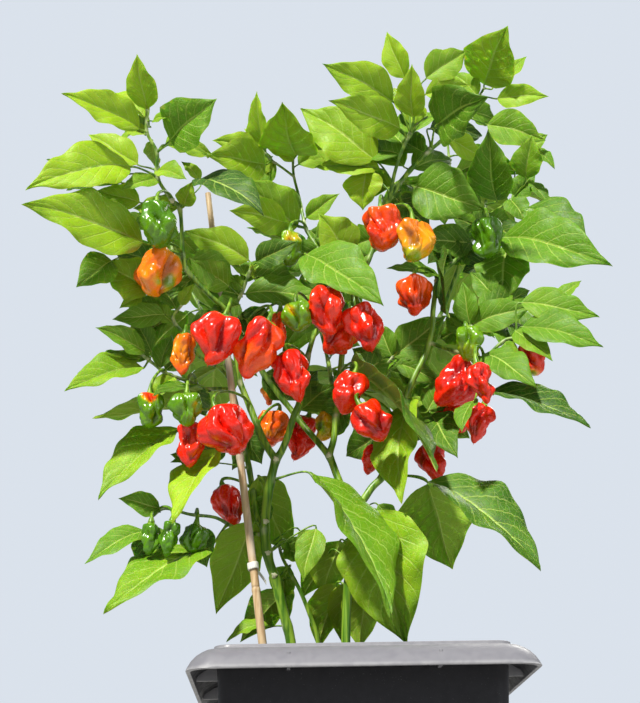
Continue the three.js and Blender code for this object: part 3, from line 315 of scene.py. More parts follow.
# Leaves beyond those of the frame: small ones, and those half hidden behind others.
moreLeaves = {
    "leftTop": [
        [146, 581, 117, 606, -65, 13, 1, 0.15, 9], [145, 566, 127, 571, -50, 14, 1, 0.15, 8],
        [172, 556, 208, 545, -55, 13, 1, 0.15, 8], [200, 520, 181, 539, -45, 12, 1, 0.15, 8],
        [182, 462, 197, 445, -20, 13, 1, 0.15, 6], [142, 405, 119, 392, -45, 14, 1, 0.15, 7],
        [124, 526, 66, 510, -15, 20, 1], [165, 556, 214, 544, -10, 20, 7],
        [147, 598, 116, 606, -30, 16, 10], [150, 574, 124, 566, -20, 20, 7],
        [152, 560, 160, 530, -30, 14, 7], [170, 494, 132, 470, -20, 26, 4],
        [168, 430, 112, 452, -10, 34, 3], [190, 442, 236, 418, -5, 36, 5],
        [196, 424, 148, 388, 5, 34, 4]],
    "innerTwig": [
        [252, 432, 263, 416, 0, 12, 1, 0.15, 7], [244, 412, 222, 424, 5, 16, 6],
        [246, 424, 232, 446, 10, 18, 6], [243, 418, 268, 442, 10, 20, 4],
        [240, 396, 205, 380, -20, 26, 3], [242, 404, 206, 414, 5, 26, 5],
        [252, 424, 300, 418, 15, 32, 3], [238, 384, 284, 362, 20, 36, 2]],
    "midTwig": [
        [180, 396, 194, 417, -60, 14, 1, 0.15, 7], [163, 388, 122, 402, -20, 24, 5],
        [168, 380, 124, 358, -10, 30, 3], [176, 392, 150, 424, 0, 28, 3],
        [190, 366, 236, 386, 5, 30, 2], [172, 378, 146, 398, -35, 18, 5]],
    "lowTwig": [
        [150, 342, 116, 344, -10, 16, 5], [165, 330, 196, 356, 0, 28, 3],
        [160, 332, 172, 366, -10, 22, 4], [190, 318, 206, 284, 10, 30, 2],
        [178, 320, 150, 318, -20, 16, 5], [200, 310, 152, 304, -70, 12, 3]],
    "backArm": [
        [250, 262, 232, 230, 25, 20, 2], [198, 240, 170, 246, -20, 18, 3],
        [240, 270, 262, 236, 20, 30, 2]],
    "leftTrunk": [
        [270, 74, 226, 58, -5, 10, 1, 0.3, 6], [286, 160, 306, 140, 26, 24, 5],
        [290, 134, 276, 100, 24, 26, 6], [300, 170, 322, 128, 20, 30, 6],
        [266, 206, 262, 176, 30, 22, 3]],
    "rightTrunk": [
        [352, 120, 342, 56, 24, 36, -1, 0.12, 8], [330, 150, 302, 102, 20, 34, -1, 0.12, 7],
        [368, 170, 350, 112, 26, 36, -1, 0.12, 4], [378, 196, 398, 170, -10, 20, 5]],
    "outerArm": [
        [384, 268, 346, 244, 14, 38, 3], [392, 284, 428, 262, 20, 32, 3],
        [428, 290, 446, 322, 14, 28, 4]],
    "middleArm": [
        [352, 292, 388, 262, 24, 34, 2], [346, 300, 326, 262, 26, 34, 2],
        [350, 322, 392, 344, 24, 34, 3]],
    "crossArm": [
        [300, 290, 336, 316, 24, 34, 3], [286, 300, 318, 330, 30, 32, 2],
        [262, 326, 296, 300, 34, 30, 2]],
    "centreTwig": [
        [388, 322, 404, 300, 0, 14, 1, 0.15, 7], [392, 344, 378, 378, 20, 26, 4],
        [380, 334, 352, 352, 20, 26, 3], [394, 342, 424, 362, 24, 30, 3],
        [390, 330, 420, 320, 26, 26, 4]],
    "spur": [
        [406, 296, 432, 300, 10, 12, 1, 0.15, 7], [428, 292, 470, 262, 30, 40, 3],
        [414, 298, 440, 318, 26, 22, 4], [410, 296, 430, 270, 20, 20, 4]],
    "rightTwig": [
        [474, 300, 462, 268, -95, 16, 1, 0.15, 4], [550, 392, 582, 420, -40, 15, 6],
        [470, 362, 446, 388, 4, 24, 3], [500, 356, 540, 366, 20, 22, 4],
        [486, 344, 520, 330, -20, 20, 3], [512, 362, 560, 372, 25, 28, 3]],
    "rightBack": [
        [482, 384, 512, 412, 10, 30, 4], [476, 380, 504, 368, 0, 24, 4],
        [466, 372, 440, 362, 10, 26, 4], [486, 388, 530, 410, 15, 32, 3]],
    "rightTop": [
        [492, 440, 462, 428, 20, 30, 1], [486, 470, 452, 484, 26, 34, 3],
        [476, 452, 436, 440, 24, 30, 3], [496, 476, 520, 452, 24, 30, 3],
        [480, 490, 440, 510, 36, 36, 2], [462, 440, 430, 458, 26, 28, 2]],
    "rightTopOut": [
        [530, 518, 549, 494, 20, 13, 1, 0.15, 3], [514, 504, 536, 528, 30, 26, 4],
        [510, 502, 526, 478, 30, 26, 4], [524, 552, 548, 566, 30, 20, 6]],
    "middleTop": [
        [300, 552, 348, 546, 62, 32, 7], [298, 536, 330, 552, 64, 26, 7],
        [294, 540, 268, 562, 30, 18, 9], [302, 492, 262, 500, 20, 34, 6],
        [310, 470, 336, 446, 40, 32, 5], [320, 452, 282, 430, 30, 34, 4],
        [326, 430, 352, 412, 30, 28, 3], [322, 410, 284, 392, 30, 34, 3],
        [324, 396, 352, 372, 34, 32, 2], [316, 462, 350, 474, 36, 30, 6]],
    "middleSide": [
        [272, 544, 250, 528, 56, 26, 7], [266, 550, 244, 572, 50, 16, 9],
        [276, 538, 246, 516, 62, 30, 6]],
    "upperMain": [
        [430, 572, 482, 564, 60, 32, 1], [424, 548, 390, 562, 40, 28, 3],
        [404, 534, 374, 556, 46, 30, 5], [392, 514, 356, 520, 46, 30, 6],
        [396, 502, 430, 470, 40, 38, 2], [376, 462, 346, 452, 30, 34, 5],
        [368, 446, 336, 424, 34, 34, 4], [388, 492, 422, 512, 50, 34, 3],
        [412, 532, 452, 540, 50, 30, 4]],
    "upperLeft": [
        [408, 566, 440, 586, 40, 26, 6], [404, 556, 372, 574, 40, 30, 5],
        [400, 546, 366, 548, 44, 28, 4], [410, 576, 394, 612, 20, 26, 8]],
    "upperRight": [
        [478, 604, 452, 628, 50, 26, 7], [470, 590, 496, 580, 50, 26, 5],
        [456, 574, 446, 606, 50, 24, 4]],
}


def unit(vectors):
    # Vectors divided by their length.
    vectors = np.asarray(vectors, float)
    return vectors / np.maximum(np.linalg.norm(vectors, axis=-1, keepdims=True), 1e-12)


def ramp(values, low, high):
    # Smooth step from 0 at low to 1 at high.
    share = np.clip((values - low) / (high - low), 0, 1)
    return share * share * (3 - 2 * share)


def curved(points, count):
    # Catmull-Rom curve through points, in count even steps of its parameter.
    points = np.asarray(points, float)
    padded = np.vstack([2 * points[0] - points[1], points, 2 * points[-1] - points[-2]])
    at = np.linspace(0, len(points) - 1, count)
    k = np.minimum(at.astype(int), len(points) - 2)
    t = (at - k)[:, None]
    a, b, c, d = padded[k], padded[k + 1], padded[k + 2], padded[k + 3]
    return 0.5 * (2 * b + (c - a) * t + (2 * a - 5 * b + 4 * c - d) * t ** 2
                  + (3 * b - a - 3 * c + d) * t ** 3)


def bezier(points, shares):
    # Bezier curve: neighbouring points are blended by the share until one is left.
    t = np.asarray(shares, float)[:, None]
    points = np.asarray(points, float)
    while len(points) > 1:
        points = [(1 - t) * a + t * b for a, b in zip(points[:-1], points[1:])]
    return points[0]


def crossWays(axis, hint):
    # Two directions square to an axis, the first nearest to hint.
    first = hint - axis * np.dot(axis, hint)
    if np.linalg.norm(first) < 0.2:
        first = np.array([axis[1], -axis[0], 0.0])
    first = unit(first)
    return first, unit(np.cross(axis, first))


def lumps(places, seed, size, octaves=3):
    # Smooth noise of about -1 to 1: sums of sine waves in drawn directions, finer and weaker.
    rng = np.random.default_rng(seed)
    total = np.zeros(places.shape[:-1])
    for octave in range(octaves):
        for _ in range(5):
            way = unit(rng.normal(size=places.shape[-1])) * 2 * math.pi * 2 ** octave / size
            total += np.sin(places @ way + rng.uniform(0, 2 * math.pi)) / 2 ** octave
    return total / 4


def gridQuads(rows, columns, around=False):
    # Faces of a grid of rows by columns of vertices. around joins the last column to the first.
    row, column = np.meshgrid(np.arange(rows - 1), np.arange(columns - (not around)),
                              indexing="ij")
    a = row * columns + column
    b = row * columns + (column + 1) % columns
    return np.stack([a, b, b + columns, a + columns], axis=-1).reshape(-1, 4)


def endFans(rows, around):
    # Triangles that close both ends of a grid of rings, at the two points after its own.
    turn = np.arange(around)
    nextTurn = (turn + 1) % around
    last = (rows - 1) * around
    return np.vstack([
        np.stack([np.full(around, rows * around), nextTurn, turn], axis=-1),
        np.stack([np.full(around, rows * around + 1), last + turn, last + nextTurn], axis=-1)])


def tube(path, radii, sides=12, groove=0.0, seed=0):
    # A closed round skin along a path: each ring is square to the path. groove wrinkles it.
    path = np.asarray(path, float)
    radii = np.broadcast_to(np.asarray(radii, float), len(path))
    way = unit(np.gradient(path, axis=0))
    hint = np.eye(3)[np.argmin(np.abs(way).max(axis=0))]
    first = unit(hint - way * (way @ hint)[:, None])
    second = np.cross(way, first)
    angle = np.linspace(0, 2 * math.pi, sides, endpoint=False)
    wide = radii[:, None] * (1 + groove * np.sin(3 * angle + seed)[None, :]
                             + groove * np.sin(5 * angle + 2 * seed)[None, :])
    rings = (path[:, None] + wide[..., None] * (first[:, None] * np.cos(angle)[None, :, None]
             + second[:, None] * np.sin(angle)[None, :, None]))
    points = np.vstack([rings.reshape(-1, 3), path[0], path[-1]])
    along = np.linspace(0, 1, len(path))
    return {
        "points": points, "quads": gridQuads(len(path), sides, True),
        "triangles": endFans(len(path), sides),
        "uv": np.vstack([np.stack(np.meshgrid(along, angle / (2 * math.pi), indexing="ij"),
                                  axis=-1).reshape(-1, 2), [[0, 0], [1, 0]]]),
    }


def meshPiece(name, parts, materials, replaced, attributes=(), sharpAngle=75):
    # One object from many parts: points, quads, triangles, uv, the material's number, and numbers
    # for each point that the material reads.
    offset = 0
    points, corners, sizes, slots, uvs = [], [], [], [], []
    extra = {key: [] for key in attributes}
    for part in parts:
        count = len(part["points"])
        points.append(part["points"])
        uvs.append(part.get("uv", np.zeros((count, 2))))
        for key in attributes:
            extra[key].append(np.broadcast_to(np.asarray(part.get(key, 0.0), float), count))
        for faces in (part.get("quads"), part.get("triangles")):
            if faces is not None and len(faces):
                corners.append((faces + offset).ravel())
                sizes.append(np.full(len(faces), faces.shape[1]))
                slots.append(np.full(len(faces), part.get("slot", 0)))
        offset += count
    points = np.clip(np.vstack(points), cadLow, cadHigh)  # never past the frame's box
    corners, sizes = np.concatenate(corners), np.concatenate(sizes)
    mesh = bpy.data.meshes.new(name)
    mesh.vertices.add(len(points))
    mesh.vertices.foreach_set("co", points.ravel())
    mesh.loops.add(len(corners))
    mesh.loops.foreach_set("vertex_index", corners)
    mesh.polygons.add(len(sizes))
    mesh.polygons.foreach_set("loop_start", np.concatenate([[0], np.cumsum(sizes)[:-1]]))
    mesh.polygons.foreach_set("material_index", np.concatenate(slots))
    mesh.update(calc_edges=True)
    mesh.validate()
    mesh.uv_layers.new(name="skin").data.foreach_set("uv", np.vstack(uvs)[corners].ravel())
    for key, values in extra.items():
        mesh.attributes.new(key, "FLOAT", "POINT").data.foreach_set(
            "value", np.concatenate(values))
    mesh.polygons.foreach_set("use_smooth", np.ones(len(sizes), bool))
    mesh.set_sharp_from_angle(angle=math.radians(sharpAngle))
    for material in materials:
        mesh.materials.append(material)
    piece = bpy.data.objects.new(name, mesh)
    bpy.context.scene.collection.objects.link(piece)
    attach(piece, "root")
    if replaced:
        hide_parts(replaced)
    return piece


def newMaterial(name, **sockets):
    material = bpy.data.materials.new(name)
    material.use_nodes = True
    shader = material.node_tree.nodes["Principled BSDF"]
    for socket, value in sockets.items():
        shader.inputs[socket.replace("_", " ")].default_value = value
    return material, shader


def addNode(material, kind, settings=None, **inputs):
    # A node with its settings, and its inputs by name or number: a value, or a socket to link.
    made = material.node_tree.nodes.new(kind)
    for key, value in (settings or {}).items():
        setattr(made, key, value)
    for key, value in inputs.items():
        slot = made.inputs[int(key[1:]) if key[1:].isdigit() else key.replace("_", " ")]
        if isinstance(value, bpy.types.NodeSocket):
            material.node_tree.links.new(value, slot)
        else:
            slot.default_value = value
    return made


def maths(material, operation, a, b=0.0, c=0.0):
    made = addNode(material, "ShaderNodeMath", {"operation": operation}, i0=a, i1=b, i2=c)
    return made.outputs[0]


def rangeOf(material, value, low, high, start=0.0, end=1.0):
    made = addNode(material, "ShaderNodeMapRange", {"interpolation_type": "SMOOTHSTEP"},
                   i0=value, i1=low, i2=high, i3=start, i4=end)
    return made.outputs[0]


def mixColour(material, share, a, b):
    made = addNode(material, "ShaderNodeMix", {"data_type": "RGBA"}, i0=share, i6=a, i7=b)
    return made.outputs[2]


def objectNoise(material, scale, detail=3.0, stretch=(1, 1, 1)):
    place = addNode(material, "ShaderNodeTexCoord").outputs["Object"]
    turned = addNode(material, "ShaderNodeMapping", Vector=place, Scale=stretch).outputs[0]
    return addNode(material, "ShaderNodeTexNoise", Vector=turned, Scale=scale,
                   Detail=detail).outputs["Fac"]


def numberOf(material, name):
    return addNode(material, "ShaderNodeAttribute", {"attribute_name": name}).outputs["Fac"]


def roughen(material, shader, height, strength, distance):
    bump = addNode(material, "ShaderNodeBump", Height=height, Strength=strength,
                   Distance=distance)
    material.node_tree.links.new(bump.outputs[0], shader.inputs["Normal"])


def link(material, socket, target):
    material.node_tree.links.new(socket, target)


# The tone scale runs from dark through middle to bright: the leaves' own darker and lighter greens,
# with painted shade at the dark end and painted sunlight at the bright end.
leafLook = {
    "dark": (0.020, 0.074, 0.003, 1),
    "middle": (0.104, 0.244, 0.005, 1),
    "bright": (0.310, 0.480, 0.009, 1),
    "underneath": (0.245, 0.380, 0.036, 1),
    "vein": (0.430, 0.560, 0.120, 1),
    "glow": [0.35, 0.0016, (0.35, 1.0, 0.06)],  # share, depth and colours of light let through
    "sideVeins": 7,       # on each side of the midrib
    "veinSlant": 0.30,    # how far a side vein climbs towards the tip, for the blade's length
}


def leafMaterial():
    # Darker to brighter by the leaf's tone, which is its own green with painted light and shade,
    # pale midrib and side veins by the blade's map, a fine net between them, and a paler, duller
    # underside.
    look = leafLook
    material, shader = newMaterial("leafBlade", Specular_IOR_Level=0.26,
                                   Subsurface_Weight=look["glow"][0],
                                   Subsurface_Scale=look["glow"][1],
                                   Subsurface_Radius=look["glow"][2])
    split = addNode(material, "ShaderNodeSeparateXYZ",
                    Vector=addNode(material, "ShaderNodeUVMap", {"uv_map": "skin"}).outputs[0])
    across, along = split.outputs[0], split.outputs[1]
    out = maths(material, "ABSOLUTE", maths(material, "MULTIPLY_ADD", across, 2.0, -1.0))
    climb = maths(material, "MULTIPLY", out, look["veinSlant"])
    veinPlace = maths(material, "MULTIPLY", maths(material, "SUBTRACT", along, climb),
                      look["sideVeins"])
    veinGap = maths(material, "PINGPONG", veinPlace, 0.5)
    sideVein = maths(material, "MULTIPLY", rangeOf(material, veinGap, 0.015, 0.075, 1, 0),
                     rangeOf(material, out, 0.5, 1.0, 1, 0.25))
    midrib = rangeOf(material, out, 0.016, 0.065, 1, 0)
    stretched = addNode(material, "ShaderNodeMapping",
                        Vector=addNode(material, "ShaderNodeUVMap", {"uv_map": "skin"}).outputs[0],
                        Scale=(9, 15, 1)).outputs[0]
    cells = addNode(material, "ShaderNodeTexVoronoi", {"feature": "DISTANCE_TO_EDGE"},
                    Vector=stretched, Scale=1.6)
    net = rangeOf(material, cells.outputs["Distance"], 0.0, 0.08, 1, 0)
    # Painted light and shade: the tone lightens sunlit leaves and darkens shaded ones, over each
    # leaf's own green.
    toneAndShading = numberOf(material, "toneAndShading")
    under = numberOf(material, "under")
    mottle = objectNoise(material, 55.0, 4.0)
    patchy = objectNoise(material, 14.0, 2.0)
    level = maths(material, "ADD", toneAndShading, maths(material, "MULTIPLY_ADD", mottle, 0.34, -0.17))
    level = maths(material, "ADD", level, maths(material, "MULTIPLY_ADD", patchy, 0.32, -0.16))
    colour = mixColour(material, rangeOf(material, level, 0.0, 0.5), look["dark"], look["middle"])
    colour = mixColour(material, rangeOf(material, level, 0.45, 1.0), colour, look["bright"])
    colour = mixColour(material, maths(material, "MULTIPLY", under, 0.6), colour,
                       look["underneath"])
    colour = mixColour(material, maths(material, "MULTIPLY", net, 0.16), colour, look["vein"])
    colour = mixColour(material, maths(material, "MULTIPLY", sideVein, 0.42), colour,
                       look["vein"])
    colour = mixColour(material, maths(material, "MULTIPLY", midrib, 0.75), colour, look["vein"])
    link(material, colour, shader.inputs["Base Color"])
    gloss = maths(material, "MULTIPLY_ADD", under, 0.14, 0.43)
    gloss = maths(material, "ADD", gloss, maths(material, "MULTIPLY", mottle, 0.12))
    link(material, gloss, shader.inputs["Roughness"])
    relief = maths(material, "MULTIPLY_ADD", sideVein, -0.7,
                   maths(material, "MULTIPLY", net, -0.35))
    relief = maths(material, "ADD", relief, maths(material, "MULTIPLY", mottle, 0.5))
    roughen(material, shader, relief, 0.5, 0.0010)
    return material


stemColours = {"dark": (0.048, 0.150, 0.003, 1), "streak": (0.260, 0.430, 0.030, 1),
               "patch": (0.085, 0.205, 0.014, 1), "scar": (0.640, 0.640, 0.420, 1)}


def stemMaterial():
    # Green with pale streaks along it, and whitish scars where leaves have dropped.
    material, shader = newMaterial("stemSkin", Specular_IOR_Level=0.45)
    streaks = objectNoise(material, 300.0, 3.0, (1, 1, 0.05))
    patches = objectNoise(material, 34.0, 3.0)
    colour = mixColour(material, rangeOf(material, streaks, 0.38, 0.68),
                       stemColours["dark"], stemColours["streak"])
    colour = mixColour(material, rangeOf(material, patches, 0.4, 0.75, 0, 0.4), colour,
                       stemColours["patch"])
    scar = maths(material, "MULTIPLY", numberOf(material, "scar"),
                 rangeOf(material, streaks, 0.2, 0.6, 0.6, 1))
    colour = mixColour(material, scar, colour, stemColours["scar"])
    link(material, colour, shader.inputs["Base Color"])
    link(material, rangeOf(material, streaks, 0.3, 0.7, 0.3, 0.5), shader.inputs["Roughness"])
    roughen(material, shader, streaks, 0.2, 0.0005)
    return material


# Skin colours by ripeness
podColours = [(0.0, (0.066, 0.200, 0.002)), (0.22, (0.150, 0.320, 0.002)),
              (0.36, (0.440, 0.400, 0.003)), (0.50, (0.880, 0.310, 0.003)),
              (0.66, (0.900, 0.110, 0.002)), (0.82, (0.860, 0.030, 0.002)),
              (1.0, (0.780, 0.011, 0.002))]


def podMaterial(name):
    # Skin from green through yellow and orange to red by each point's ripeness, very glossy, and
    # darker and deeper in colour in the creases between its bumps: painted shade.
    material, shader = newMaterial(name, Roughness=0.24, Specular_IOR_Level=0.5, Coat_Weight=0.25,
                                   Coat_Roughness=0.05)
    cloud = objectNoise(material, 60.0, 3.0)
    fine = objectNoise(material, 420.0, 3.0)
    ripe = maths(material, "ADD", numberOf(material, "ripe"),
                 maths(material, "MULTIPLY_ADD", cloud, 0.16, -0.08))
    colours = addNode(material, "ShaderNodeValToRGB", i0=ripe)
    band = colours.color_ramp
    for place, _ in podColours[1:-1]:
        band.elements.new(place)
    for element, (place, rgb) in zip(band.elements, podColours):
        element.position = place
        element.color = (*rgb, 1)
    # Painted shade: the skin is darker and deeper in colour where it lies in a crease.
    creaseShade = addNode(material, "ShaderNodeHueSaturation", Color=colours.outputs[0], Hue=0.498,
                   Saturation=1.2, Value=0.46)
    colour = mixColour(material, numberOf(material, "crease"), colours.outputs[0],
                       creaseShade.outputs[0])
    link(material, colour, shader.inputs["Base Color"])
    link(material, rangeOf(material, fine, 0.3, 0.7, 0.2, 0.34), shader.inputs["Roughness"])
    roughen(material, shader, fine, 0.08, 0.0006)
    return material


# The first pair, for the walls below the rim and down the inside, is a near-black that is painted
# shade; the second is the plastic's own grey, on the rim.
potColours = {"body": [(0.006, 0.006, 0.010, 1), (0.011, 0.011, 0.016, 1)],
              "unshaded": [(0.168, 0.168, 0.192, 1), (0.178, 0.178, 0.202, 1)],
              "dust": (0.400, 0.400, 0.410, 1), "speck": (0.300, 0.300, 0.300, 1),
              "scuff": (0.330, 0.330, 0.340, 1)}


def potMaterial():
    # Moulded plastic with a fine grain and pale specks, grey on the rim, and dust on its ledges.
    # Below the rim and down the inside it falls to near black: painted shade.
    material, shader = newMaterial("potPlastic", Specular_IOR_Level=0.4)
    grain = objectNoise(material, 1400.0, 2.0)
    specks = objectNoise(material, 900.0, 4.0)
    dust = objectNoise(material, 160.0, 6.0)
    scuffs = objectNoise(material, 90.0, 4.0, (1, 1, 0.12))
    body = mixColour(material, rangeOf(material, dust, 0.35, 0.75), *potColours["body"])
    unshaded = mixColour(material, rangeOf(material, dust, 0.3, 0.72), *potColours["unshaded"])
    # Painted shade: the colour falls from the rim's grey to near black below the rim and down the
    # inside.
    colour = mixColour(material, numberOf(material, "unshaded"), body, unshaded)
    colour = mixColour(material, maths(material, "MULTIPLY", numberOf(material, "ledge"),
                       rangeOf(material, dust, 0.35, 0.65, 0.3, 0.5)), colour,
                       potColours["dust"])
    colour = mixColour(material, rangeOf(material, specks, 0.66, 0.76, 0, 0.22), colour,
                       potColours["speck"])
    colour = mixColour(material, rangeOf(material, scuffs, 0.68, 0.82, 0, 0.12), colour,
                       potColours["scuff"])
    link(material, colour, shader.inputs["Base Color"])
    link(material, rangeOf(material, dust, 0.3, 0.7, 0.36, 0.58), shader.inputs["Roughness"])
    roughen(material, shader, grain, 0.12, 0.0003)
    return material


soilColours = {"dark": (0.018, 0.011, 0.007, 1), "light": (0.085, 0.052, 0.030, 1),
               "speck": (0.420, 0.380, 0.320, 1)}


def soilMaterial():
    material, shader = newMaterial("soilCrumbs", Roughness=0.95, Specular_IOR_Level=0.15)
    crumbs = objectNoise(material, 240.0, 6.0)
    specks = objectNoise(material, 700.0, 2.0)
    colour = mixColour(material, rangeOf(material, crumbs, 0.3, 0.7), soilColours["dark"],
                       soilColours["light"])
    colour = mixColour(material, rangeOf(material, specks, 0.68, 0.74), colour,
                       soilColours["speck"])
    link(material, colour, shader.inputs["Base Color"])
    roughen(material, shader, crumbs, 0.9, 0.003)
    return material


caneColours = {"dark": (0.400, 0.260, 0.130, 1), "light": (0.620, 0.480, 0.290, 1),
               "weathered": (0.560, 0.500, 0.420, 1), "line": (0.190, 0.120, 0.060, 1)}


def caneMaterial():
    # Tan bamboo with long fibres, grey weathered stretches and dark lines at the nodes.
    material, shader = newMaterial("caneSkin", Roughness=0.5, Specular_IOR_Level=0.35)
    fibres = objectNoise(material, 420.0, 3.0, (1, 1, 0.03))
    weather = objectNoise(material, 26.0, 3.0, (1, 1, 0.5))
    colour = mixColour(material, rangeOf(material, fibres, 0.3, 0.7), caneColours["dark"],
                       caneColours["light"])
    colour = mixColour(material, rangeOf(material, weather, 0.42, 0.66), colour,
                       caneColours["weathered"])
    colour = mixColour(material, numberOf(material, "scar"), colour, caneColours["line"])
    link(material, colour, shader.inputs["Base Color"])
    link(material, rangeOf(material, weather, 0.3, 0.7, 0.38, 0.62), shader.inputs["Roughness"])
    roughen(material, shader, fibres, 0.3, 0.0004)
    return material


# The band's grey is painted shade along its creases; the pale is its own colour.
tieColours = [(0.560, 0.560, 0.500, 1), (0.780, 0.780, 0.720, 1)]


def tieMaterial():
    material, shader = newMaterial("tieStrip", Roughness=0.6)
    creases = objectNoise(material, 500.0, 3.0, (1, 1, 0.3))
    # Painted shade: darker in the dents of the creases.
    colour = mixColour(material, rangeOf(material, creases, 0.3, 0.7), *tieColours)
    link(material, colour, shader.inputs["Base Color"])
    roughen(material, shader, creases, 0.4, 0.0004)
    return material


leafSkin, stemSkin = leafMaterial(), stemMaterial()
print("materials: done")


def nodePoints(name):
    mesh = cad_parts[name].data
    places = np.empty(len(mesh.vertices) * 3)
    mesh.vertices.foreach_get("co", places)
    return places.reshape(-1, 3)


cadPoints = {name: nodePoints(name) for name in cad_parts}
tipSlack = 3e-5  # metres


def inNode(name, point):
    # Whether the node has a vertex at that point.
    return np.min(np.linalg.norm(cadPoints[name] - point, axis=1)) < tipSlack


def walkStem(stem, steps=4):
    # Straight samples between a stem's places, with where each is seen and how thick it is.
    through = np.array(stem["through"], float)
    at = np.arange((len(through) - 1) * steps + 1) / steps
    k = np.minimum(at.astype(int), len(through) - 2)
    place = through[k] + (through[k + 1] - through[k]) * (at - k)[:, None]
    low, high = stem["thick"]
    return {"place": place, "at": spot(place),
            "radius": (low + (high - low) * at / at[-1]) / 2000}


walks = {name: walkStem(stem) for name, stem in stems.items()}


def nearest(walk, across, up):
    # The stem's sample nearest to a little below a place.
    gap = np.hypot(walk["place"][:, 0] - across, walk["place"][:, 1] - up)
    drop = gap.min() * 0.4
    return int(np.argmin(np.hypot(walk["place"][:, 0] - across,
                                  walk["place"][:, 1] - (up - drop))))


blade = {
    "aspect": 0.5,               # least true width for the true length
    "thick": 0.0006,
    "turn": math.radians(18),    # least roll away from the viewer
    "fold": [8, 24],             # degrees that each half rises
    "longFrom": 0.074,           # longer blades have more faces
    "rows": [32, 16],            # faces along a long and a short blade
    "columns": [[0, 0.045, 0.15, 0.3, 0.46, 0.62, 0.78, 0.9, 1], [0, 0.08, 0.35, 0.68, 1]],
    "petiole": 0.0011,
    "sun": unit([-0.4, -0.5, 0.75]),
    "arch": 0.12,                # of the middle line, for the length
    "outline": [4.13, 0.8, 1.35],  # width, and how blunt the foot and the tip are
    "crowding": 0.92,            # under 1, rows lie closer towards the tip
    "edge": [0.035, 3.1],        # unevenness of the edge, and its waves along the blade
    "flatten": 0.35,             # of the fold, towards the tip and the edge
    "puff": 0.14,                # of the fields between side veins
    "ripples": [[0.085, 2.3, 1.2], [0.05, 4.1, -1]],  # height, waves along, lean
    "tilt": 0.1,                 # one half higher than the other
    "sway": [0.035, 0.8],        # sideways, and its waves along the blade
    "rib": [0.0011, 0.0005, 0.0011],  # half width, dip above and height below
    "seed": 911,
}
# Ways in which the frame's rule bends a leaf clear: [depth of the tip in mm, roll in degrees].
bends = [[0, 0], [12, 0], [-12, 0], [22, 12], [-22, -12], [34, 0], [-34, 0], [46, 25],
         [-46, -25], [60, 0], [-60, 0], [76, 30], [-76, -30], [95, 0], [-95, 0], [115, 20],
         [135, 0]]


def leafFrame(row, walk, bend, draw):
    # Foot, tip, upward direction, width and fold of a leaf, by the frame's own rule.
    if len(row) == 7:
        row = row[:6] + [1, blade["arch"]] + row[6:]
    footAcross, footUp, tipAcross, tipUp, tipDepth, seen, face, arch, toneAndShading = row
    root = nearest(walk, footAcross, footUp)
    rootPlace = walk["place"][root]
    petiole = math.hypot(footAcross - rootPlace[0], footUp - rootPlace[1])
    length = math.hypot(tipAcross - footAcross, tipUp - footUp)
    depth = tipDepth + bend[0]
    footDepth = rootPlace[2] + (depth - rootPlace[2]) * petiole / (petiole + length)
    foot, tip = spot([[footAcross, footUp, footDepth], [tipAcross, tipUp, depth]])
    axis = unit(tip - foot)
    length = np.linalg.norm(tip - foot)
    width = seen * boardScale((footDepth + depth) / 2) / 1000
    trueWidth = max(blade["aspect"] * length, width / math.cos(blade["turn"]))
    roll = math.acos(width / trueWidth)
    toEye = eye - foot
    toEye = unit(toEye - axis * np.dot(toEye, axis))
    across = np.cross(axis, toEye)
    base = roll if face > 0 else math.pi - roll
    extra = math.radians(bend[1])
    ways = [toEye * math.cos(angle) + across * math.sin(angle)
            for angle in (base + extra, -base - extra)]
    upper = max(ways, key=lambda way: np.dot(way, blade["sun"]))
    fold = math.radians(blade["fold"][0] + (blade["fold"][1] - blade["fold"][0]) * draw)
    return {"root": walk["at"][root], "rootRadius": walk["radius"][root], "foot": foot,
            "tip": tip, "axis": axis, "upper": upper, "length": length, "half": trueWidth / 2,
            "fold": fold, "arch": arch, "toneAndShading": toneAndShading / 10}


backLeaves = {
    "count": {"backLeft": 7, "backMiddle": 8, "backRight": 8}, "tries": 70, "from": 0.25,
    "length": [75, 125], "half": [0.25, 0.33], "petiole": [14, 30],
    "spread": math.radians(150), "rise": [-25, 40], "droop": 0.5, "seed": 4127,
}
# Smaller leaves that fill the back shoots up to their ends.
backFill = {
    "count": {"backLeft": 11, "backMiddle": 12, "backRight": 12}, "from": 0.35,
    "length": [42, 78], "half": [0.25, 0.33], "petiole": [6, 18],
    "spread": math.radians(230), "rise": [-20, 55], "droop": 0.5, "seed": 77,
}


def backFrame(walk, draws, setting):
    # A drawn leaf of a back shoot, by the frame's own rule.
    def between(limits):
        return limits[0] + (limits[1] - limits[0]) * next(draws)
    root = int(between([setting["from"], 1]) * (len(walk["at"]) - 1))
    heading = (next(draws) - 0.5) * setting["spread"]
    rise = math.radians(between(setting["rise"]))
    level = np.array([math.sin(heading), math.cos(heading), 0])
    start = unit(level + [0, 0, math.tan(rise)])
    foot = walk["at"][root] + start * between(setting["petiole"]) / 1000
    length = between(setting["length"]) / 1000
    axis = level * math.cos(rise - setting["droop"])
    axis[2] = math.sin(rise - setting["droop"])
    tip = foot + axis * length
    upper = np.array([next(draws) - 0.5, next(draws) - 0.5, 1])
    upper = unit(upper - axis * np.dot(upper, axis))
    half = between(setting["half"]) * length
    return {"root": walk["at"][root], "rootRadius": walk["radius"][root], "foot": foot,
            "tip": tip, "axis": axis, "upper": upper, "length": length, "half": half,
            "fold": 0.2, "arch": blade["arch"],
            "toneAndShading": 0.3 + 0.4 * (half / length - setting["half"][0])
                    / (setting["half"][1] - setting["half"][0])}


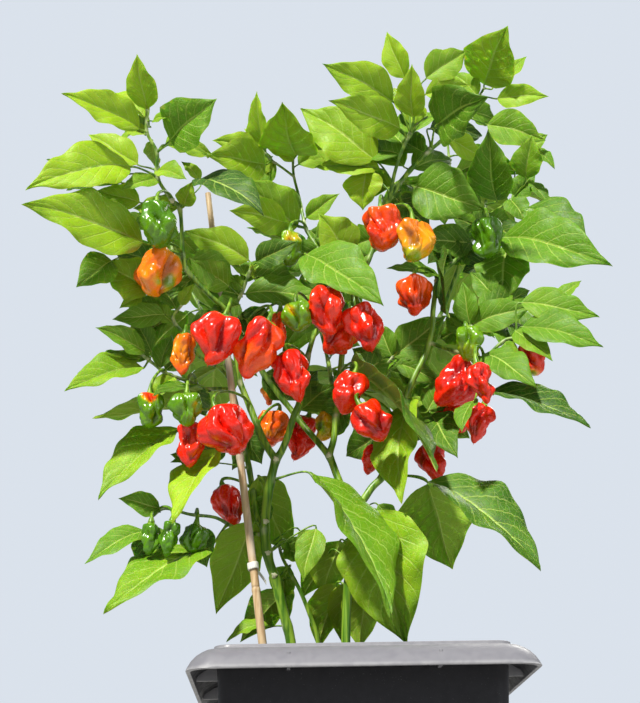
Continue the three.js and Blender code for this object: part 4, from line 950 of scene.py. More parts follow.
leafFrames = {name: [] for name in stems}
leafDraws = drawer(blade["seed"])
for stemName, rows in leaves.items():
    for row in rows:
        draw = next(leafDraws)
        for bend in bends:
            found = leafFrame(row, walks[stemName], bend, draw)
            if inNode(stems[stemName]["node"], found["tip"]):
                leafFrames[stemName].append(found)
                break
backDraws = drawer(backLeaves["seed"])
for stemName, count in backLeaves["count"].items():
    tries = 0
    while tries < backLeaves["tries"] * count and len(leafFrames[stemName]) < count:
        found = backFrame(walks[stemName], backDraws, backLeaves)
        tries += 1
        if inNode(stems[stemName]["node"], found["tip"]):
            leafFrames[stemName].append(found)
fillDraws = drawer(backFill["seed"])
for stemName, count in backFill["count"].items():
    leafFrames[stemName] += [backFrame(walks[stemName], fillDraws, backFill)
                             for _ in range(count)]
for stemName, rows in moreLeaves.items():
    for row in rows:
        leafFrames[stemName].append(leafFrame(row, walks[stemName], [0, 0], 0.5))
print("leaves:", sum(len(found) for found in leafFrames.values()))


def bladeHalf(share):
    # Half width along the midrib, 1 at its widest.
    width, foot, tip = blade["outline"]
    return width * share ** foot * (1 - share) ** tip


def leafBlade(leaf, seed):
    # A closed thin blade. Its middle line is a quadratic curve from foot to tip. Across it, each
    # half rises by the fold and flattens outwards, puffs up between the side veins and waves at
    # its edge. The lower face is the same, a leaf's thickness down, with a raised midrib.
    rng = np.random.default_rng(seed)
    long = leaf["length"] > blade["longFrom"]
    half = np.array(blade["columns"][0 if long else 1])
    columns = np.concatenate([-half[:0:-1], half])
    rows = blade["rows"][0 if long else 1]
    share = np.linspace(0, 1, rows + 1)[1:-1] ** blade["crowding"]
    side = unit(np.cross(leaf["axis"], leaf["upper"]))
    top = (leaf["foot"] + leaf["tip"]) / 2 + leaf["upper"] * leaf["arch"] * leaf["length"]
    line = bezier([leaf["foot"], top, leaf["tip"]], share)
    way = unit((top - leaf["foot"]) * (1 - share)[:, None] + (leaf["tip"] - top) * share[:, None])
    normal = unit(np.cross(side, way))
    s, x = np.meshgrid(share, columns, indexing="ij")
    out = np.abs(x)
    uneven, waves = blade["edge"]
    edgeNoise = 1 + uneven * np.sin(2 * math.pi * (waves * s + rng.uniform()) + x)
    wide = bladeHalf(s) * leaf["half"] * edgeNoise
    flatten = blade["flatten"]
    turn = leaf["fold"] * (1 - flatten * s)
    veinPlace = leafLook["sideVeins"] * (s - leafLook["veinSlant"] * out)
    puff = np.sin(math.pi * (veinPlace % 1)) ** 0.7
    phase = rng.uniform(0, 2 * math.pi, 4)
    lift = wide * np.sin(turn) * out * (1 + flatten - flatten * out)
    lift += blade["puff"] * leaf["half"] * puff * out ** 0.6 * (1 - out) ** 0.5 * ramp(s, 0.02, 0.2)
    envelope = out ** 2 * np.sin(math.pi * s) ** 0.6
    for (high, waves, lean), start in zip(blade["ripples"], phase):
        lift += leaf["half"] * envelope * high * np.sin(2 * math.pi * waves * s + start + lean * x)
    lift += blade["tilt"] * leaf["half"] * x * np.sin(math.pi * s) * np.sin(phase[2])
    size, waves = blade["sway"]
    sway = size * leaf["length"] * np.sin(math.pi * s) * np.sin(2 * math.pi * s * waves + phase[3])
    flat = np.cos(turn * (1 - 0.4 * out))
    skin = (line[:, None] + side * (x * wide * flat + sway * 0.5)[..., None]
            + normal[:, None] * lift[..., None])
    ribHalf, dip, ridge = blade["rib"]
    rib = np.exp(-(x * wide / ribHalf) ** 2) * (1 - 0.7 * s)
    upper = skin + normal[:, None] * (blade["thick"] / 2 - dip * rib)[..., None]
    lower = skin - normal[:, None] * (blade["thick"] / 2 + ridge * rib)[..., None]
    # The two faces share their edge, foot and tip.
    count = len(columns)
    edge = [0, count - 1]
    upper[:, edge] = lower[:, edge] = skin[:, edge]
    ends = np.stack([leaf["foot"], leaf["tip"]])
    points = np.vstack([upper.reshape(-1, 3), lower[:, 1:-1].reshape(-1, 3), ends])
    numbers = np.arange(len(share) * count).reshape(len(share), count)
    under = numbers.copy()
    under[:, 1:-1] = len(share) * count + np.arange(len(share) * (count - 2)).reshape(
        len(share), count - 2)
    foot, tip = len(points) - 2, len(points) - 1
    quads, triangles = [], []
    for table, flip in ((numbers, False), (under, True)):
        cells = np.stack([table[:-1, :-1], table[:-1, 1:], table[1:, 1:], table[1:, :-1]],
                         axis=-1).reshape(-1, 4)
        fans = np.vstack([
            np.stack([np.full(count - 1, foot), table[0, 1:], table[0, :-1]], axis=-1),
            np.stack([np.full(count - 1, tip), table[-1, :-1], table[-1, 1:]], axis=-1)])
        quads.append(cells[:, ::-1] if flip else cells)
        triangles.append(fans[:, ::-1] if flip else fans)
    place = np.stack([0.5 + 0.5 * x, s], axis=-1)
    return {
        "points": points, "quads": np.vstack(quads), "triangles": np.vstack(triangles),
        "uv": np.vstack([place.reshape(-1, 2), place[:, 1:-1].reshape(-1, 2),
                         [[0.5, 0], [0.5, 1]]]),
        "toneAndShading": leaf["toneAndShading"], "slot": 0,
        "under": np.concatenate([np.zeros(upper.shape[0] * count),
                                 np.ones(len(share) * (count - 2)), [0, 0]]),
    }


def leafStalk(leaf):
    # The petiole: a thin tube that leaves the stem a little upwards and runs on under the blade.
    foot = leaf["foot"]
    away = np.linalg.norm(foot - leaf["root"])
    rise = leaf["root"] + (foot - leaf["root"]) * 0.45 + np.array([0, 0, 0.06 * away])
    under = foot - leaf["upper"] * 0.0007
    shares = np.linspace(0, 1, 9)
    path = bezier([leaf["root"], rise, under - leaf["axis"] * 0.25 * away, under], shares)
    runOn = foot + (leaf["tip"] - foot) * 0.06 - leaf["upper"] * 0.0004
    path = np.vstack([path, runOn])
    size = min(1.0, 0.55 + leaf["length"] / 0.2)
    radii = blade["petiole"] * size * np.array([1.9, 1.25, 1, 0.95, 0.9, 0.9, 0.9, 0.95, 1, 0.5])
    return {**tube(path, radii, 8), "slot": 1}


stemLook = {"sides": 14, "step": 5, "swell": 0.1, "swellLength": 0.0045, "scarSize": 0.0022,
            "knob": 0.0024, "forkReach": 0.006}


def stemTube(name, joints):
    # A smooth curve through the stem's places. It swells where leaves and stalks leave it.
    stem = stems[name]
    places = np.array(stem["through"], float)
    count = (len(places) - 1) * stemLook["step"] + 1
    path = spot(curved(places, count))
    share = np.linspace(0, 1, count)
    low, high = stem["thick"]
    radii = (low + (high - low) * share) / 2000
    length = np.concatenate([[0], np.cumsum(np.linalg.norm(np.diff(path, axis=0), axis=1))])
    fineLength = np.linspace(0, length[-1], max(12, int(length[-1] / 0.003)))
    path = np.stack([np.interp(fineLength, length, path[:, k]) for k in range(3)], axis=-1)
    radii = np.interp(fineLength, length, radii)
    for joint, _ in joints:
        gap = np.linalg.norm(path - joint, axis=1)
        radii = radii * (1 + stemLook["swell"] * np.exp(-(gap / stemLook["swellLength"]) ** 2))
    part = tube(path, radii, stemLook["sides"], 0.03, len(name))
    scars = np.array([side for _, side in joints]).reshape(-1, 3)
    gap = np.linalg.norm(part["points"][:, None] - scars, axis=-1).min(axis=1, initial=1)
    return {**part, "slot": 1, "scar": np.exp(-(gap / stemLook["scarSize"]) ** 2)}


def knob(at, out, size, seed):
    # A whitish, grooved lump where something has dropped from a stem: a short closed tube along
    # the way out, as round as a ball.
    share = np.linspace(-0.95, 0.95, 9)
    path = at + out * (share * size)[:, None]
    radii = size * 1.15 * np.sqrt(1 - share ** 2)
    return {**tube(path, radii, 18, 0.13, seed), "slot": 1, "scar": 1.0}


def bud(at, way, size, seed):
    # A tuft of very small leaves at a shoot's end.
    rng = np.random.default_rng(seed)
    parts = []
    for k in range(4):
        turn = k * 2.4 + rng.uniform(0, 1)
        first, second = crossWays(way, np.array([0, -1.0, 0.1]))
        spread = rng.uniform(0.35, 0.95)
        axis = unit(way + spread * (first * math.cos(turn) + second * math.sin(turn)))
        length = size * rng.uniform(0.55, 1)
        upper = unit(way - axis * np.dot(way, axis) + 1e-6)
        foot = at + axis * 0.12 * length
        small = {"root": at, "foot": foot, "tip": foot + axis * length, "axis": axis,
                 "upper": upper, "length": length, "half": length * 0.24, "fold": 0.45,
                 "arch": 0.06, "toneAndShading": 0.95}
        parts += [leafBlade(small, seed + k), leafStalk(small)]
    return parts


podShape = {
    "around": 84, "along": 76, "bodyShare": 0.95, "skew": 0.72, "blunt": 2.7, "tail": 0.1,
    "lobes": [0.08, 0.05],    # three upright ones and two that turn
    "valley": 0.34, "narrow": [0.5, 1.05], "narrowing": [0.22, 0.5],
    "blisters": [[9, 0.58, 0.33], [26, 0.34, 0.15], [80, 0.18, 0.045]],  # count, width, height
    "stretch": 0.55,          # bumps are this much closer along the pod, so they look drawn out
    "crease": 9,              # the higher, the sharper the creases between bumps
    "lowest": -0.5, "widest": 1.1, "shadeFrom": 0.06, "shadeTo": 0.32,
    "bend": [0.13, 0.9],      # of the middle line, and its waves along the pod
    "tailBend": 0.22, "shoulder": 0.14,
    "shifts": [0, -8, 8, -16, 16, -26, 26, -38, 38, 52, -52, 70, 90],
    "twist": 1.7, "capHeight": 0.0045, "capShare": 0.44, "stalk": 0.0015,
}


def podProfile(share, pointed):
    # Radius from the top at 0 to the tip at 1, for a pod of radius 1: a blunt egg, widest over
    # its middle, that narrows more the more pointed it is, and ends in a short thin tail.
    body = np.clip(share / podShape["bodyShare"], 0, 1) ** podShape["skew"]
    egg = (1 - np.abs(2 * body - 1) ** podShape["blunt"]) ** (1 / podShape["blunt"])
    least, more = podShape["narrowing"]
    narrowing = 1 - ramp(share, *podShape["narrow"]) * (least + more * pointed)
    tail = podShape["tail"] * (1 - share ** 6) * ramp(share, 0.5, 0.8)
    return np.maximum(egg * narrowing, tail)


def podFrame(row, index, shift):
    _, across, up, depth, wide, tall, tipAcross, tipUp, pointed, ripe = row
    reach = math.hypot(tipAcross - across, tipUp - up)
    way = np.array([tipAcross - across, tipUp - up]) / reach * tall / 2
    top, tip = spot([[across - way[0], up - way[1], depth + shift],
                     [across + way[0], up + way[1], depth + shift]])
    return {"top": top, "tip": tip, "axis": unit(tip - top),
            "height": np.linalg.norm(tip - top), "pointed": pointed, "ripe": ripe,
            "radius": wide / 2 * boardScale(depth + shift) / 1000,
            "phase": index * podShape["twist"]}


def blisters(places, centres, size):
    # Rounded bumps with creases between them: for each point the highest of the domes that stand
    # on the centres, with their meeting lines a little softened.
    far = np.linalg.norm(places[:, None] - centres[None], axis=-1) / size
    sharp = podShape["crease"]
    return np.log(np.exp(sharp * (1 - far ** 2)).sum(axis=1)) / sharp


def podSkin(pod, seed, patches):
    # A lobed closed skin. Its radius is the pod's profile times its lobes, then large and small
    # blisters push it out, so that creases run between them. Its middle line bends to and fro.
    rng = np.random.default_rng(seed)
    rows, around = podShape["along"], podShape["around"]
    first, second = crossWays(pod["axis"], np.array([0, -1.0, 0]))
    share = (1 - np.cos(np.linspace(0, math.pi, rows + 1)[1:-1])) / 2
    angle = np.linspace(0, 2 * math.pi, around, endpoint=False)
    s, a = np.meshgrid(share, angle, indexing="ij")
    phase = rng.uniform(0, 2 * math.pi, 6)
    three, two = podShape["lobes"]
    lobes = (1 + three * np.sin(3 * a + pod["phase"])
             + two * np.sin(2 * a + 2 * pod["phase"] + 5 * s))
    valleys = 1 - np.abs(np.sin(1.5 * a + pod["phase"] / 2 + 0.8 * np.sin(3 * s + phase[0])))
    fold = 1 - podShape["valley"] * valleys ** 4 * np.sin(math.pi * s ** 0.8)
    r = podProfile(s, pod["pointed"]) * lobes * fold
    tall = pod["height"] / pod["radius"]
    plain = np.stack([r * np.cos(a), r * np.sin(a), s * tall * podShape["stretch"]],
                     axis=-1).reshape(-1, 3)
    depth = np.zeros_like(s)
    for count, size, high in podShape["blisters"]:
        centres = plain[rng.choice(len(plain), count * 4, replace=False)]
        kept = [centres[0]]  # spread them out
        for _ in range(count - 1):
            gap = np.min(np.linalg.norm(centres[:, None] - np.array(kept)[None], axis=-1), axis=1)
            kept.append(centres[np.argmax(gap)])
        grown = blisters(plain, np.array(kept), size).reshape(s.shape)
        grown = np.clip(grown, podShape["lowest"], 1)
        grown = (grown - grown.mean()) * np.sin(math.pi * s) ** 0.35
        r = r * (1 + high * grown)
        depth -= high * grown
    r = r * podShape["widest"] / np.percentile(r, 98)
    size, waves = podShape["bend"]
    bend = size * np.sin(2 * math.pi * s * waves + phase[1]) * ramp(s, 0, 0.4)
    tailWays = np.array([math.cos(phase[2]), math.sin(phase[2])])[:, None, None]
    tailBend = podShape["tailBend"] * ramp(s, 0.75, 1) * tailWays
    around3 = first * np.cos(a)[..., None] + second * np.sin(a)[..., None]
    shoulder = (podShape["shoulder"] * (0.6 + 0.4 * np.sin(3 * a + pod["phase"]))
                * np.exp(-((s - 0.06) / 0.09) ** 2))
    middle = (pod["top"] + pod["axis"] * (share * pod["height"])[:, None])[:, None]
    points = (middle + pod["radius"] * (
        around3 * r[..., None] - pod["axis"] * shoulder[..., None]
        + first * ((bend * math.cos(phase[5])) + tailBend[0] * (1 - s) * 3)[..., None]
        + second * ((bend * math.sin(phase[5])) + tailBend[1] * (1 - s) * 3)[..., None])
    ).reshape(-1, 3)
    ends = np.stack([pod["top"] + pod["axis"] * 0.03 * pod["height"], pod["tip"]])
    points = np.vstack([points, ends])
    shares = np.concatenate([s.ravel(), [0, 1]])
    ripe = pod["ripe"] + 0.05 * np.sin(shares * 5 + phase[1]) + 0.04 * lumps(points, seed, 0.03, 2)
    centre = (pod["top"] + pod["tip"]) / 2
    seen = (points - centre) / (pod["height"] / 2)
    for right, up, size, goal in patches:
        far = np.hypot(seen @ boardRight - right, seen @ boardUp - up)
        front = ramp(-(seen @ sight), -0.6, 0.2)
        cover = 1 - ramp(far + 0.3 * lumps(points, seed + 5, 0.03, 3), size * 0.1, size * 1.2)
        ripe = ripe + (goal - ripe) * cover * front
    # crease: how deep a point lies between bumps; the skin is darkened there as painted shade.
    return {
        "points": points, "quads": gridQuads(rows - 1, around, True),
        "triangles": endFans(rows - 1, around), "ripe": np.clip(ripe, 0, 1),
        "crease": np.concatenate([ramp(depth, podShape["shadeFrom"], podShape["shadeTo"]).ravel(),
                                  [0, 0]]),
        "uv": np.vstack([np.stack([a / (2 * math.pi), s], axis=-1).reshape(-1, 2),
                         [[0, 0], [0, 1]]]),
    }


def podCap(pod, root, seed):
    # The green cap: a low dome with five blunt teeth that lies on the pod's shoulders, and the
    # stalk that rises from the stem and bends down into it.
    rng = np.random.default_rng(seed)
    first, second = crossWays(pod["axis"], np.array([0, -1.0, 0]))
    around = 30
    rings = np.linspace(0.12, 1, 7)
    rho, a = np.meshgrid(rings, np.linspace(0, 2 * math.pi, around, endpoint=False),
                         indexing="ij")
    teeth = 1 + 0.14 * np.cos(5 * a + rng.uniform(0, 6)) * ramp(rho, 0.4, 1)
    r = pod["radius"] * (podShape["capShare"] + 0.1) * rho * teeth
    height = podShape["capHeight"] * 0.8 * (1 - rho ** 2.2) - 0.0006
    capTop = pod["top"] - pod["axis"] * podShape["capHeight"]

    def dome(drop):
        return (pod["top"] - pod["axis"] * (height - drop)[..., None]
                + (first * np.cos(a)[..., None] + second * np.sin(a)[..., None]) * r[..., None])
    upper, lower = dome(0), dome(0.0016)
    skin = np.concatenate([upper, lower[::-1]])
    peak = pod["top"] - pod["axis"] * podShape["capHeight"] * 0.8
    inner = pod["top"] + pod["axis"] * 0.0005
    points = np.vstack([skin.reshape(-1, 3), peak, inner])
    cap = {"points": points, "quads": gridQuads(len(skin), around, True),
           "triangles": endFans(len(skin), around), "slot": 1}
    away = np.linalg.norm(root - capTop)
    path = bezier([root, root + np.array([0, 0, away * 0.25]),
                   capTop - pod["axis"] * away * 0.35, capTop], np.linspace(0, 1, 14))
    path = np.vstack([path, pod["top"] - pod["axis"] * podShape["capHeight"] * 0.45])
    radii = podShape["stalk"] * np.interp(np.linspace(0, 1, 15), [0, 0.12, 0.5, 0.85, 1],
                                          [1.5, 0.95, 0.85, 1.15, 2.2])
    return [cap, {**tube(path, radii, 10, 0.04, seed), "slot": 1}]


# Tufts at shoots' ends: the stem and the tuft's size in metres.
buds = [["leftTop", 0.011], ["innerTwig", 0.008], ["middleTop", 0.009], ["rightTop", 0.009],
        ["rightTopOut", 0.008], ["centreTwig", 0.008], ["backLeft", 0.03], ["backMiddle", 0.03],
        ["backRight", 0.03]]
# Where a whitish scar is seen on a stem, across and up.
scarPlaces = [[262, 147], [258, 180], [277, 241], [329, 244], [355, 192], [433, 420], [172, 500],
              [268, 122]]
# Ripe patches of a pod: [right, up, size, ripeness], right and up from its middle as seen.
podPatches = {
    2: [[0.5, -0.3, 0.5, 0.22], [-0.2, 0.7, 0.7, 0.62]],
    5: [[0.0, 0.8, 0.7, 0.95]], 8: [[0, 0.8, 0.7, 0.95]], 10: [[0, 0.8, 0.7, 0.95]],
    7: [[-0.4, 0.6, 0.6, 0.5]], 12: [[0.1, -0.75, 0.6, 0.25]], 20: [[0, -0.8, 0.6, 0.3]],
    26: [[0.6, 0.5, 0.5, 0.55]], 27: [[0, 0.95, 0.5, 0.8]],
    32: [[-0.3, 0, 0.35, 0.55], [0.35, 0.1, 0.3, 0.6]],
    34: [[-0.3, 0.2, 0.4, 0.2], [0.3, 0.3, 0.35, 0.38]], 38: [[0, 0.6, 0.6, 0.45]],
}

podFrames = []
for index, row in enumerate(pods):
    name = "pod_%02d" % (index + 1)
    placed = [podFrame(row, index, shift) for shift in podShape["shifts"]]
    placed = [pod for pod in placed if name in cadPoints and inNode(name, pod["tip"])]
    podFrames.append(placed[0] if placed else None)
print("pods:", sum(pod is not None for pod in podFrames))

forks = [walk["at"][0] for walk in walks.values()]
for node in sorted({stem["node"] for stem in stems.values()}):
    parts = []
    for number, (stemName, stem) in enumerate(stems.items()):
        if stem["node"] != node:
            continue
        walk = walks[stemName]
        joints = [[leaf["root"], leaf["root"] + unit(leaf["foot"] - leaf["root"])
                   * leaf["rootRadius"]] for leaf in leafFrames[stemName]]
        for index, row in enumerate(pods):
            pod = podFrames[index]
            if row[0] != stemName or pod is None:
                continue
            root = nearest(walk, row[1], row[2] + row[5] / 2)
            joints.append([walk["at"][root], walk["at"][root]])
            parts += podCap(pod, walk["at"][root], 70 + index)
        for fork in forks:
            if np.linalg.norm(walk["at"] - fork, axis=1).min() < stemLook["forkReach"]:
                joints.append([fork, fork + unit(eye - fork) * walk["radius"][0]])
        parts.append(stemTube(stemName, joints))
        for k, place in enumerate(scarPlaces):
            gaps = {name: np.hypot(*(other["place"][:, :2] - place).T).min()
                    for name, other in walks.items() if not name.startswith("back")}
            if min(gaps, key=gaps.get) == stemName:
                at = np.argmin(np.hypot(*(walk["place"][:, :2] - place).T))
                out = unit(eye - walk["at"][at])
                parts.append(knob(walk["at"][at] + out * walk["radius"][at] * 0.85, out,
                                  stemLook["knob"], k))
        for k, leaf in enumerate(leafFrames[stemName]):
            parts += [leafBlade(leaf, 1000 * number + k), leafStalk(leaf)]
        for budStem, size in buds:
            if budStem == stemName:
                ends = walk["at"][-2:]
                parts += bud(ends[1], unit(ends[1] - ends[0]), size, 300 + number)
    meshPiece(node + "_fine", parts, [leafSkin, stemSkin], node,
              ("toneAndShading", "under", "scar"))
print("plant: done")

slotOf = [["pod_green", 0.3, podMaterial("podSkinGreen")],
          ["pod_orange", 0.72, podMaterial("podSkinOrange")],
          ["pod_red", 2, podMaterial("podSkinRed")]]
for index, pod in enumerate(podFrames):
    if pod is None:
        continue
    name = "pod_%02d" % (index + 1)
    slotName, _, skin = next(entry for entry in slotOf if pod["ripe"] < entry[1])
    part = podSkin(pod, 40 + index, podPatches.get(index + 1, []))
    meshPiece(name + "_fine", [part], [skin], name, ("ripe", "crease"))
print("pod pieces: done")


pot = {
    "high": 275, "rimDrop": 22.5, "wall": 3, "wallHalfTop": 121.5, "wallHalfBase": 108,
    "ribs": [-62, 62], "ribDeep": 20, "ribHigh": 12, "ribDrop": 7, "ribSink": 1.2,
    "ribOutline": [[-1, -0.92], [-0.7, -1], [0.7, -1], [1, -0.92], [1, 1], [-1, 1]],
    "ribLevels": [[-1, 0.9], [-0.9, 1], [1, 1]],  # height and width of its rings
    "ribDust": 0.35,
    "drainRadius": 6, "drainAt": 55, "cornerFaces": 8, "sideFaces": 10, "axisFaces": 6,
}


def squareRing(half, corner, z):
    # A square with round corners: the sides are cut evenly, the corners are quarter circles.
    turnShare = np.linspace(0, math.pi / 2, pot["cornerFaces"] + 1)
    rings = []
    for quarter in range(4):
        turn = quarter * math.pi / 2
        x = half - corner + corner * np.cos(turnShare)
        y = half - corner + corner * np.sin(turnShare)
        sideY = np.linspace(-(half - corner), half - corner, pot["sideFaces"] + 1)[1:-1]
        x = np.concatenate([np.full(len(sideY), float(half)), x])
        y = np.concatenate([sideY, y])
        rings.append(np.stack([x * math.cos(turn) - y * math.sin(turn),
                               x * math.sin(turn) + y * math.cos(turn),
                               np.full(len(x), float(z))], axis=-1))
    return np.vstack(rings)


def ringSkin(rings):
    # A closed skin over rings of equal count, with flat ends.
    stack = np.array(rings)
    around = stack.shape[1]
    points = np.vstack([stack.reshape(-1, 3), stack[0].mean(axis=0), stack[-1].mean(axis=0)])
    return {"points": points / 1000, "quads": gridQuads(len(stack), around, True),
            "triangles": endFans(len(stack), around)}


# Half side, corner radius, height, dust and share of the plastic's own grey of each ring, from
# the floor of the pot up its outside, over the rim and down its inside. Where that share is
# below 1 the colour falls towards near black: painted shade under the rim and down the inside.
profile = [[108, 12, 0, 0, 0], [108.02, 12, 0.4, 0, 0], [108.8, 12, 16, 0, 0],
           [114.5, 12, 125, 0, 0], [120.8, 12, 252, 0, 0],
           [121.3, 12, 262, 0, 0], [121.5, 12, 266, 0, 0],
           [130, 15, 263.5, 0, 0], [138.6, 18, 258.5, 0, 0.2], [142.4, 20, 252.5, 0, 0.6],
           [142.8, 20, 252.5, 0.5, 1], [145.7, 20, 252.5, 1, 1], [146, 20, 252.9, 1, 1],
           [146, 23, 254.2, 0.8, 1], [145.5, 22.6, 255.2, 0.4, 1], [144.9, 22, 256.4, 0, 1],
           [142.2, 21.4, 261.2, 0, 1], [138, 20, 266, 0, 1], [134.5, 18.6, 268.6, 0, 1],
           [130.5, 17, 270.9, 0.1, 1], [124.6, 14.6, 272.1, 0.4, 1], [123.7, 14, 272.5, 0.6, 1],
           [123.5, 14, 273, 0.3, 1], [123.4, 14, 274.6, 0.2, 1], [123, 14, 275, 0.6, 1],
           [119, 11.2, 275, 0.7, 1], [118.6, 11, 274.7, 0.3, 1], [118.5, 11, 270, 0, 0.8],
           [112, 10, 140, 0, 0.4], [105, 9, 3, 0, 0]]


def welded(parts):
    # One part from several whose borders meet: points at the same place become one.
    offsets = np.cumsum([0] + [len(part["points"]) for part in parts])
    points = np.vstack([part["points"] for part in parts])
    _, first, number = np.unique(points.round(6), axis=0, return_index=True, return_inverse=True)
    quads = np.vstack([part["quads"] + offset for part, offset in zip(parts, offsets)])
    made = {"points": points[first] / 1000, "quads": number.ravel()[quads]}
    for key in ("ledge", "unshaded"):
        made[key] = np.concatenate([np.broadcast_to(np.asarray(part.get(key, 0.0), float),
                                                    len(part["points"])) for part in parts])[first]
    return made


def floorPlate(ring, upwards):
    # A flat floor inside a ring, with a round hole in each quarter: faces run from the quarter's
    # border to points at the same bearings on its hole.
    perQuarter = len(ring) // 4
    start = pot["sideFaces"] // 2 - 1
    middle = np.array([0, 0, ring[0, 2]])
    steps = np.linspace(0, 1, pot["axisFaces"] + 1)[:, None]
    parts = []
    for quarter in range(4):
        places = ring[(np.arange(perQuarter + 1) + quarter * perQuarter + start) % len(ring)]
        inwards = places[-1] + (middle - places[-1]) * steps
        outwards = middle + (places[0] - middle) * steps
        border = np.vstack([places, inwards[1:], outwards[1:-1]])
        hole = np.sign(border.mean(axis=0)) * pot["drainAt"]
        hole[2] = ring[0, 2]
        rim = hole + unit(border - hole) * pot["drainRadius"]
        quads = gridQuads(2, len(border), True)
        parts.append({"points": np.vstack([rim, border]),
                      "quads": quads if upwards else quads[:, ::-1]})
    return parts


def potPart():
    # The tub's skin from floor to floor, both floor plates and the walls of the drain holes.
    rings = np.array([squareRing(*row[:3]) for row in profile])
    around = rings.shape[1]
    marks = np.repeat(np.array(profile)[:, 3:], around, axis=0)
    skin = {"points": rings.reshape(-1, 3), "quads": gridQuads(len(rings), around, True),
            "ledge": marks[:, 0], "unshaded": marks[:, 1]}
    below, above = floorPlate(rings[0], False), floorPlate(rings[-1], True)
    walls = []
    for low, high in zip(below, above):
        count = len(low["points"]) // 2
        walls.append({"points": np.vstack([low["points"][:count], high["points"][:count]]),
                      "quads": gridQuads(2, count, True)[:, ::-1]})
    return welded([skin] + below + above + walls)


def potRibs():
    # Upright ribs between the wall and the rim's underside, with slightly rounded edges.
    parts = []
    half = np.array([pot["wall"], pot["ribDeep"], pot["ribHigh"]]) / 2
    low = pot["high"] - pot["rimDrop"]
    corners = np.array(pot["ribOutline"])
    for side in range(4):
        turn = side * math.pi / 2
        for along in pot["ribs"]:
            rings = []
            for level, narrow in pot["ribLevels"]:
                x = along + corners[:, 0] * half[0] * narrow
                y = pot["ribSink"] - pot["wallHalfTop"] - half[1] + corners[:, 1] * half[1]
                rings.append(np.stack([x * math.cos(turn) - y * math.sin(turn),
                                       x * math.sin(turn) + y * math.cos(turn),
                                       np.full(len(x), low + pot["ribDrop"] + level * half[2])],
                                      axis=-1))
            parts.append({**ringSkin(rings), "ledge": pot["ribDust"], "unshaded": 1.0})
    return parts


meshPiece("pot_fine", [potPart()] + potRibs(), [potMaterial()], "pot",
          ("ledge", "unshaded"), 50)
print("pot: done")

soil = {"top": 247, "bottom": 3.3, "gap": 0.3, "inset": 0.5, "points": 90,
        "clods": [1.1, 60], "crumbs": [1.4, 9], "lowered": 1.6}  # height and size, in mm
slope = (pot["wallHalfTop"] - pot["wallHalfBase"]) / (pot["high"] - pot["wall"])


def soilHalf(z):
    # Half width of the soil at a height: the pot's inner wall less the gap.
    return pot["wallHalfBase"] - pot["wall"] + slope * (z - pot["wall"]) - soil["gap"]


def soilPart():
    # A block with a crumbly top: its height is noise of large and small waves, quiet at the wall.
    count = soil["points"]
    place = np.linspace(-1, 1, count)
    x, y = np.meshgrid(place, place, indexing="ij")
    half = soilHalf(soil["top"]) - soil["inset"]
    points = np.stack([x * half, y * half, np.full_like(x, soil["top"])], axis=-1)
    edge = 1 - np.maximum(np.abs(x), np.abs(y)) ** 14
    clods, crumbs = soil["clods"], soil["crumbs"]
    grain = (clods[0] * lumps(points[..., :2], 5, clods[1], 3)
             + crumbs[0] * lumps(points[..., :2], 6, crumbs[1], 2))
    points[..., 2] += np.minimum(0, (grain - soil["lowered"])) * edge
    base = points.copy()
    base[..., :2] *= soilHalf(soil["bottom"]) / half
    base[..., 2] = soil["bottom"]
    top = gridQuads(count, count)
    number = np.arange(count * count).reshape(count, count)
    rim = np.concatenate([number[0, :-1], number[:-1, -1], number[-1, :0:-1], number[:0:-1, 0]])
    low = count * count
    nextRim = np.roll(rim, -1)
    sides = np.stack([rim, nextRim, nextRim + low, rim + low], axis=-1)
    return {"points": np.vstack([points.reshape(-1, 3), base.reshape(-1, 3)]) / 1000,
            "quads": np.vstack([top, (top + low)[:, ::-1], sides])}


meshPiece("soil_fine", [soilPart()], [soilMaterial()], "soil")
print("soil: done")

cane = {"ends": [[272, -21, -38], [208, 507, 8]], "radius": [3.9, 2.9],
        "joints": [0.22, 0.46, 0.7, 0.9], "ringHigh": 0.0022, "swell": 0.1, "sides": 28,
        "lineUp": 0.003, "lineDeep": 0.06, "lineDark": 0.85, "steps": 120}
tie = {"along": 0.262, "inside": 4.2, "thick": 1.1, "half": 3.2, "end": [266, 118, -18],
       "endWide": 0.0024, "endThick": 0.0005, "endRise": 0.002, "endSteps": 16, "endSides": 12,
       "around": 40, "rounding": 0.0003, "wave": 0.0003}


def canePart():
    # A straight rod with a raised ring and a dark line at each joint.
    ends = spot(cane["ends"])
    length = np.linalg.norm(ends[1] - ends[0])
    share = np.unique(np.concatenate([np.linspace(0, 1, cane["steps"])] + [
        joint + np.linspace(-0.02, 0.02, 25) for joint in cane["joints"]]))
    share = share[(share >= 0) & (share <= 1)]
    radii = np.interp(share, [0, 1], np.array(cane["radius"]) / 1000)
    dark = np.zeros(len(share))
    for joint in cane["joints"]:
        gap = (share - joint) * length
        fromLine = gap - cane["lineUp"]
        radii = radii * (1 + cane["swell"] * np.exp(-(gap / cane["ringHigh"]) ** 2)
                         - cane["lineDeep"] * np.exp(-(fromLine / 0.0007) ** 2))
        dark = np.maximum(dark, cane["lineDark"] * np.exp(-(fromLine / 0.0006) ** 2))
    path = ends[0] + (ends[1] - ends[0]) * share[:, None]
    part = tube(path, radii, cane["sides"])
    return {**part, "scar": np.concatenate([np.repeat(dark, cane["sides"]), [0, 0]])}


meshPiece("cane_fine", [canePart()], [caneMaterial()], "cane", ("scar",))


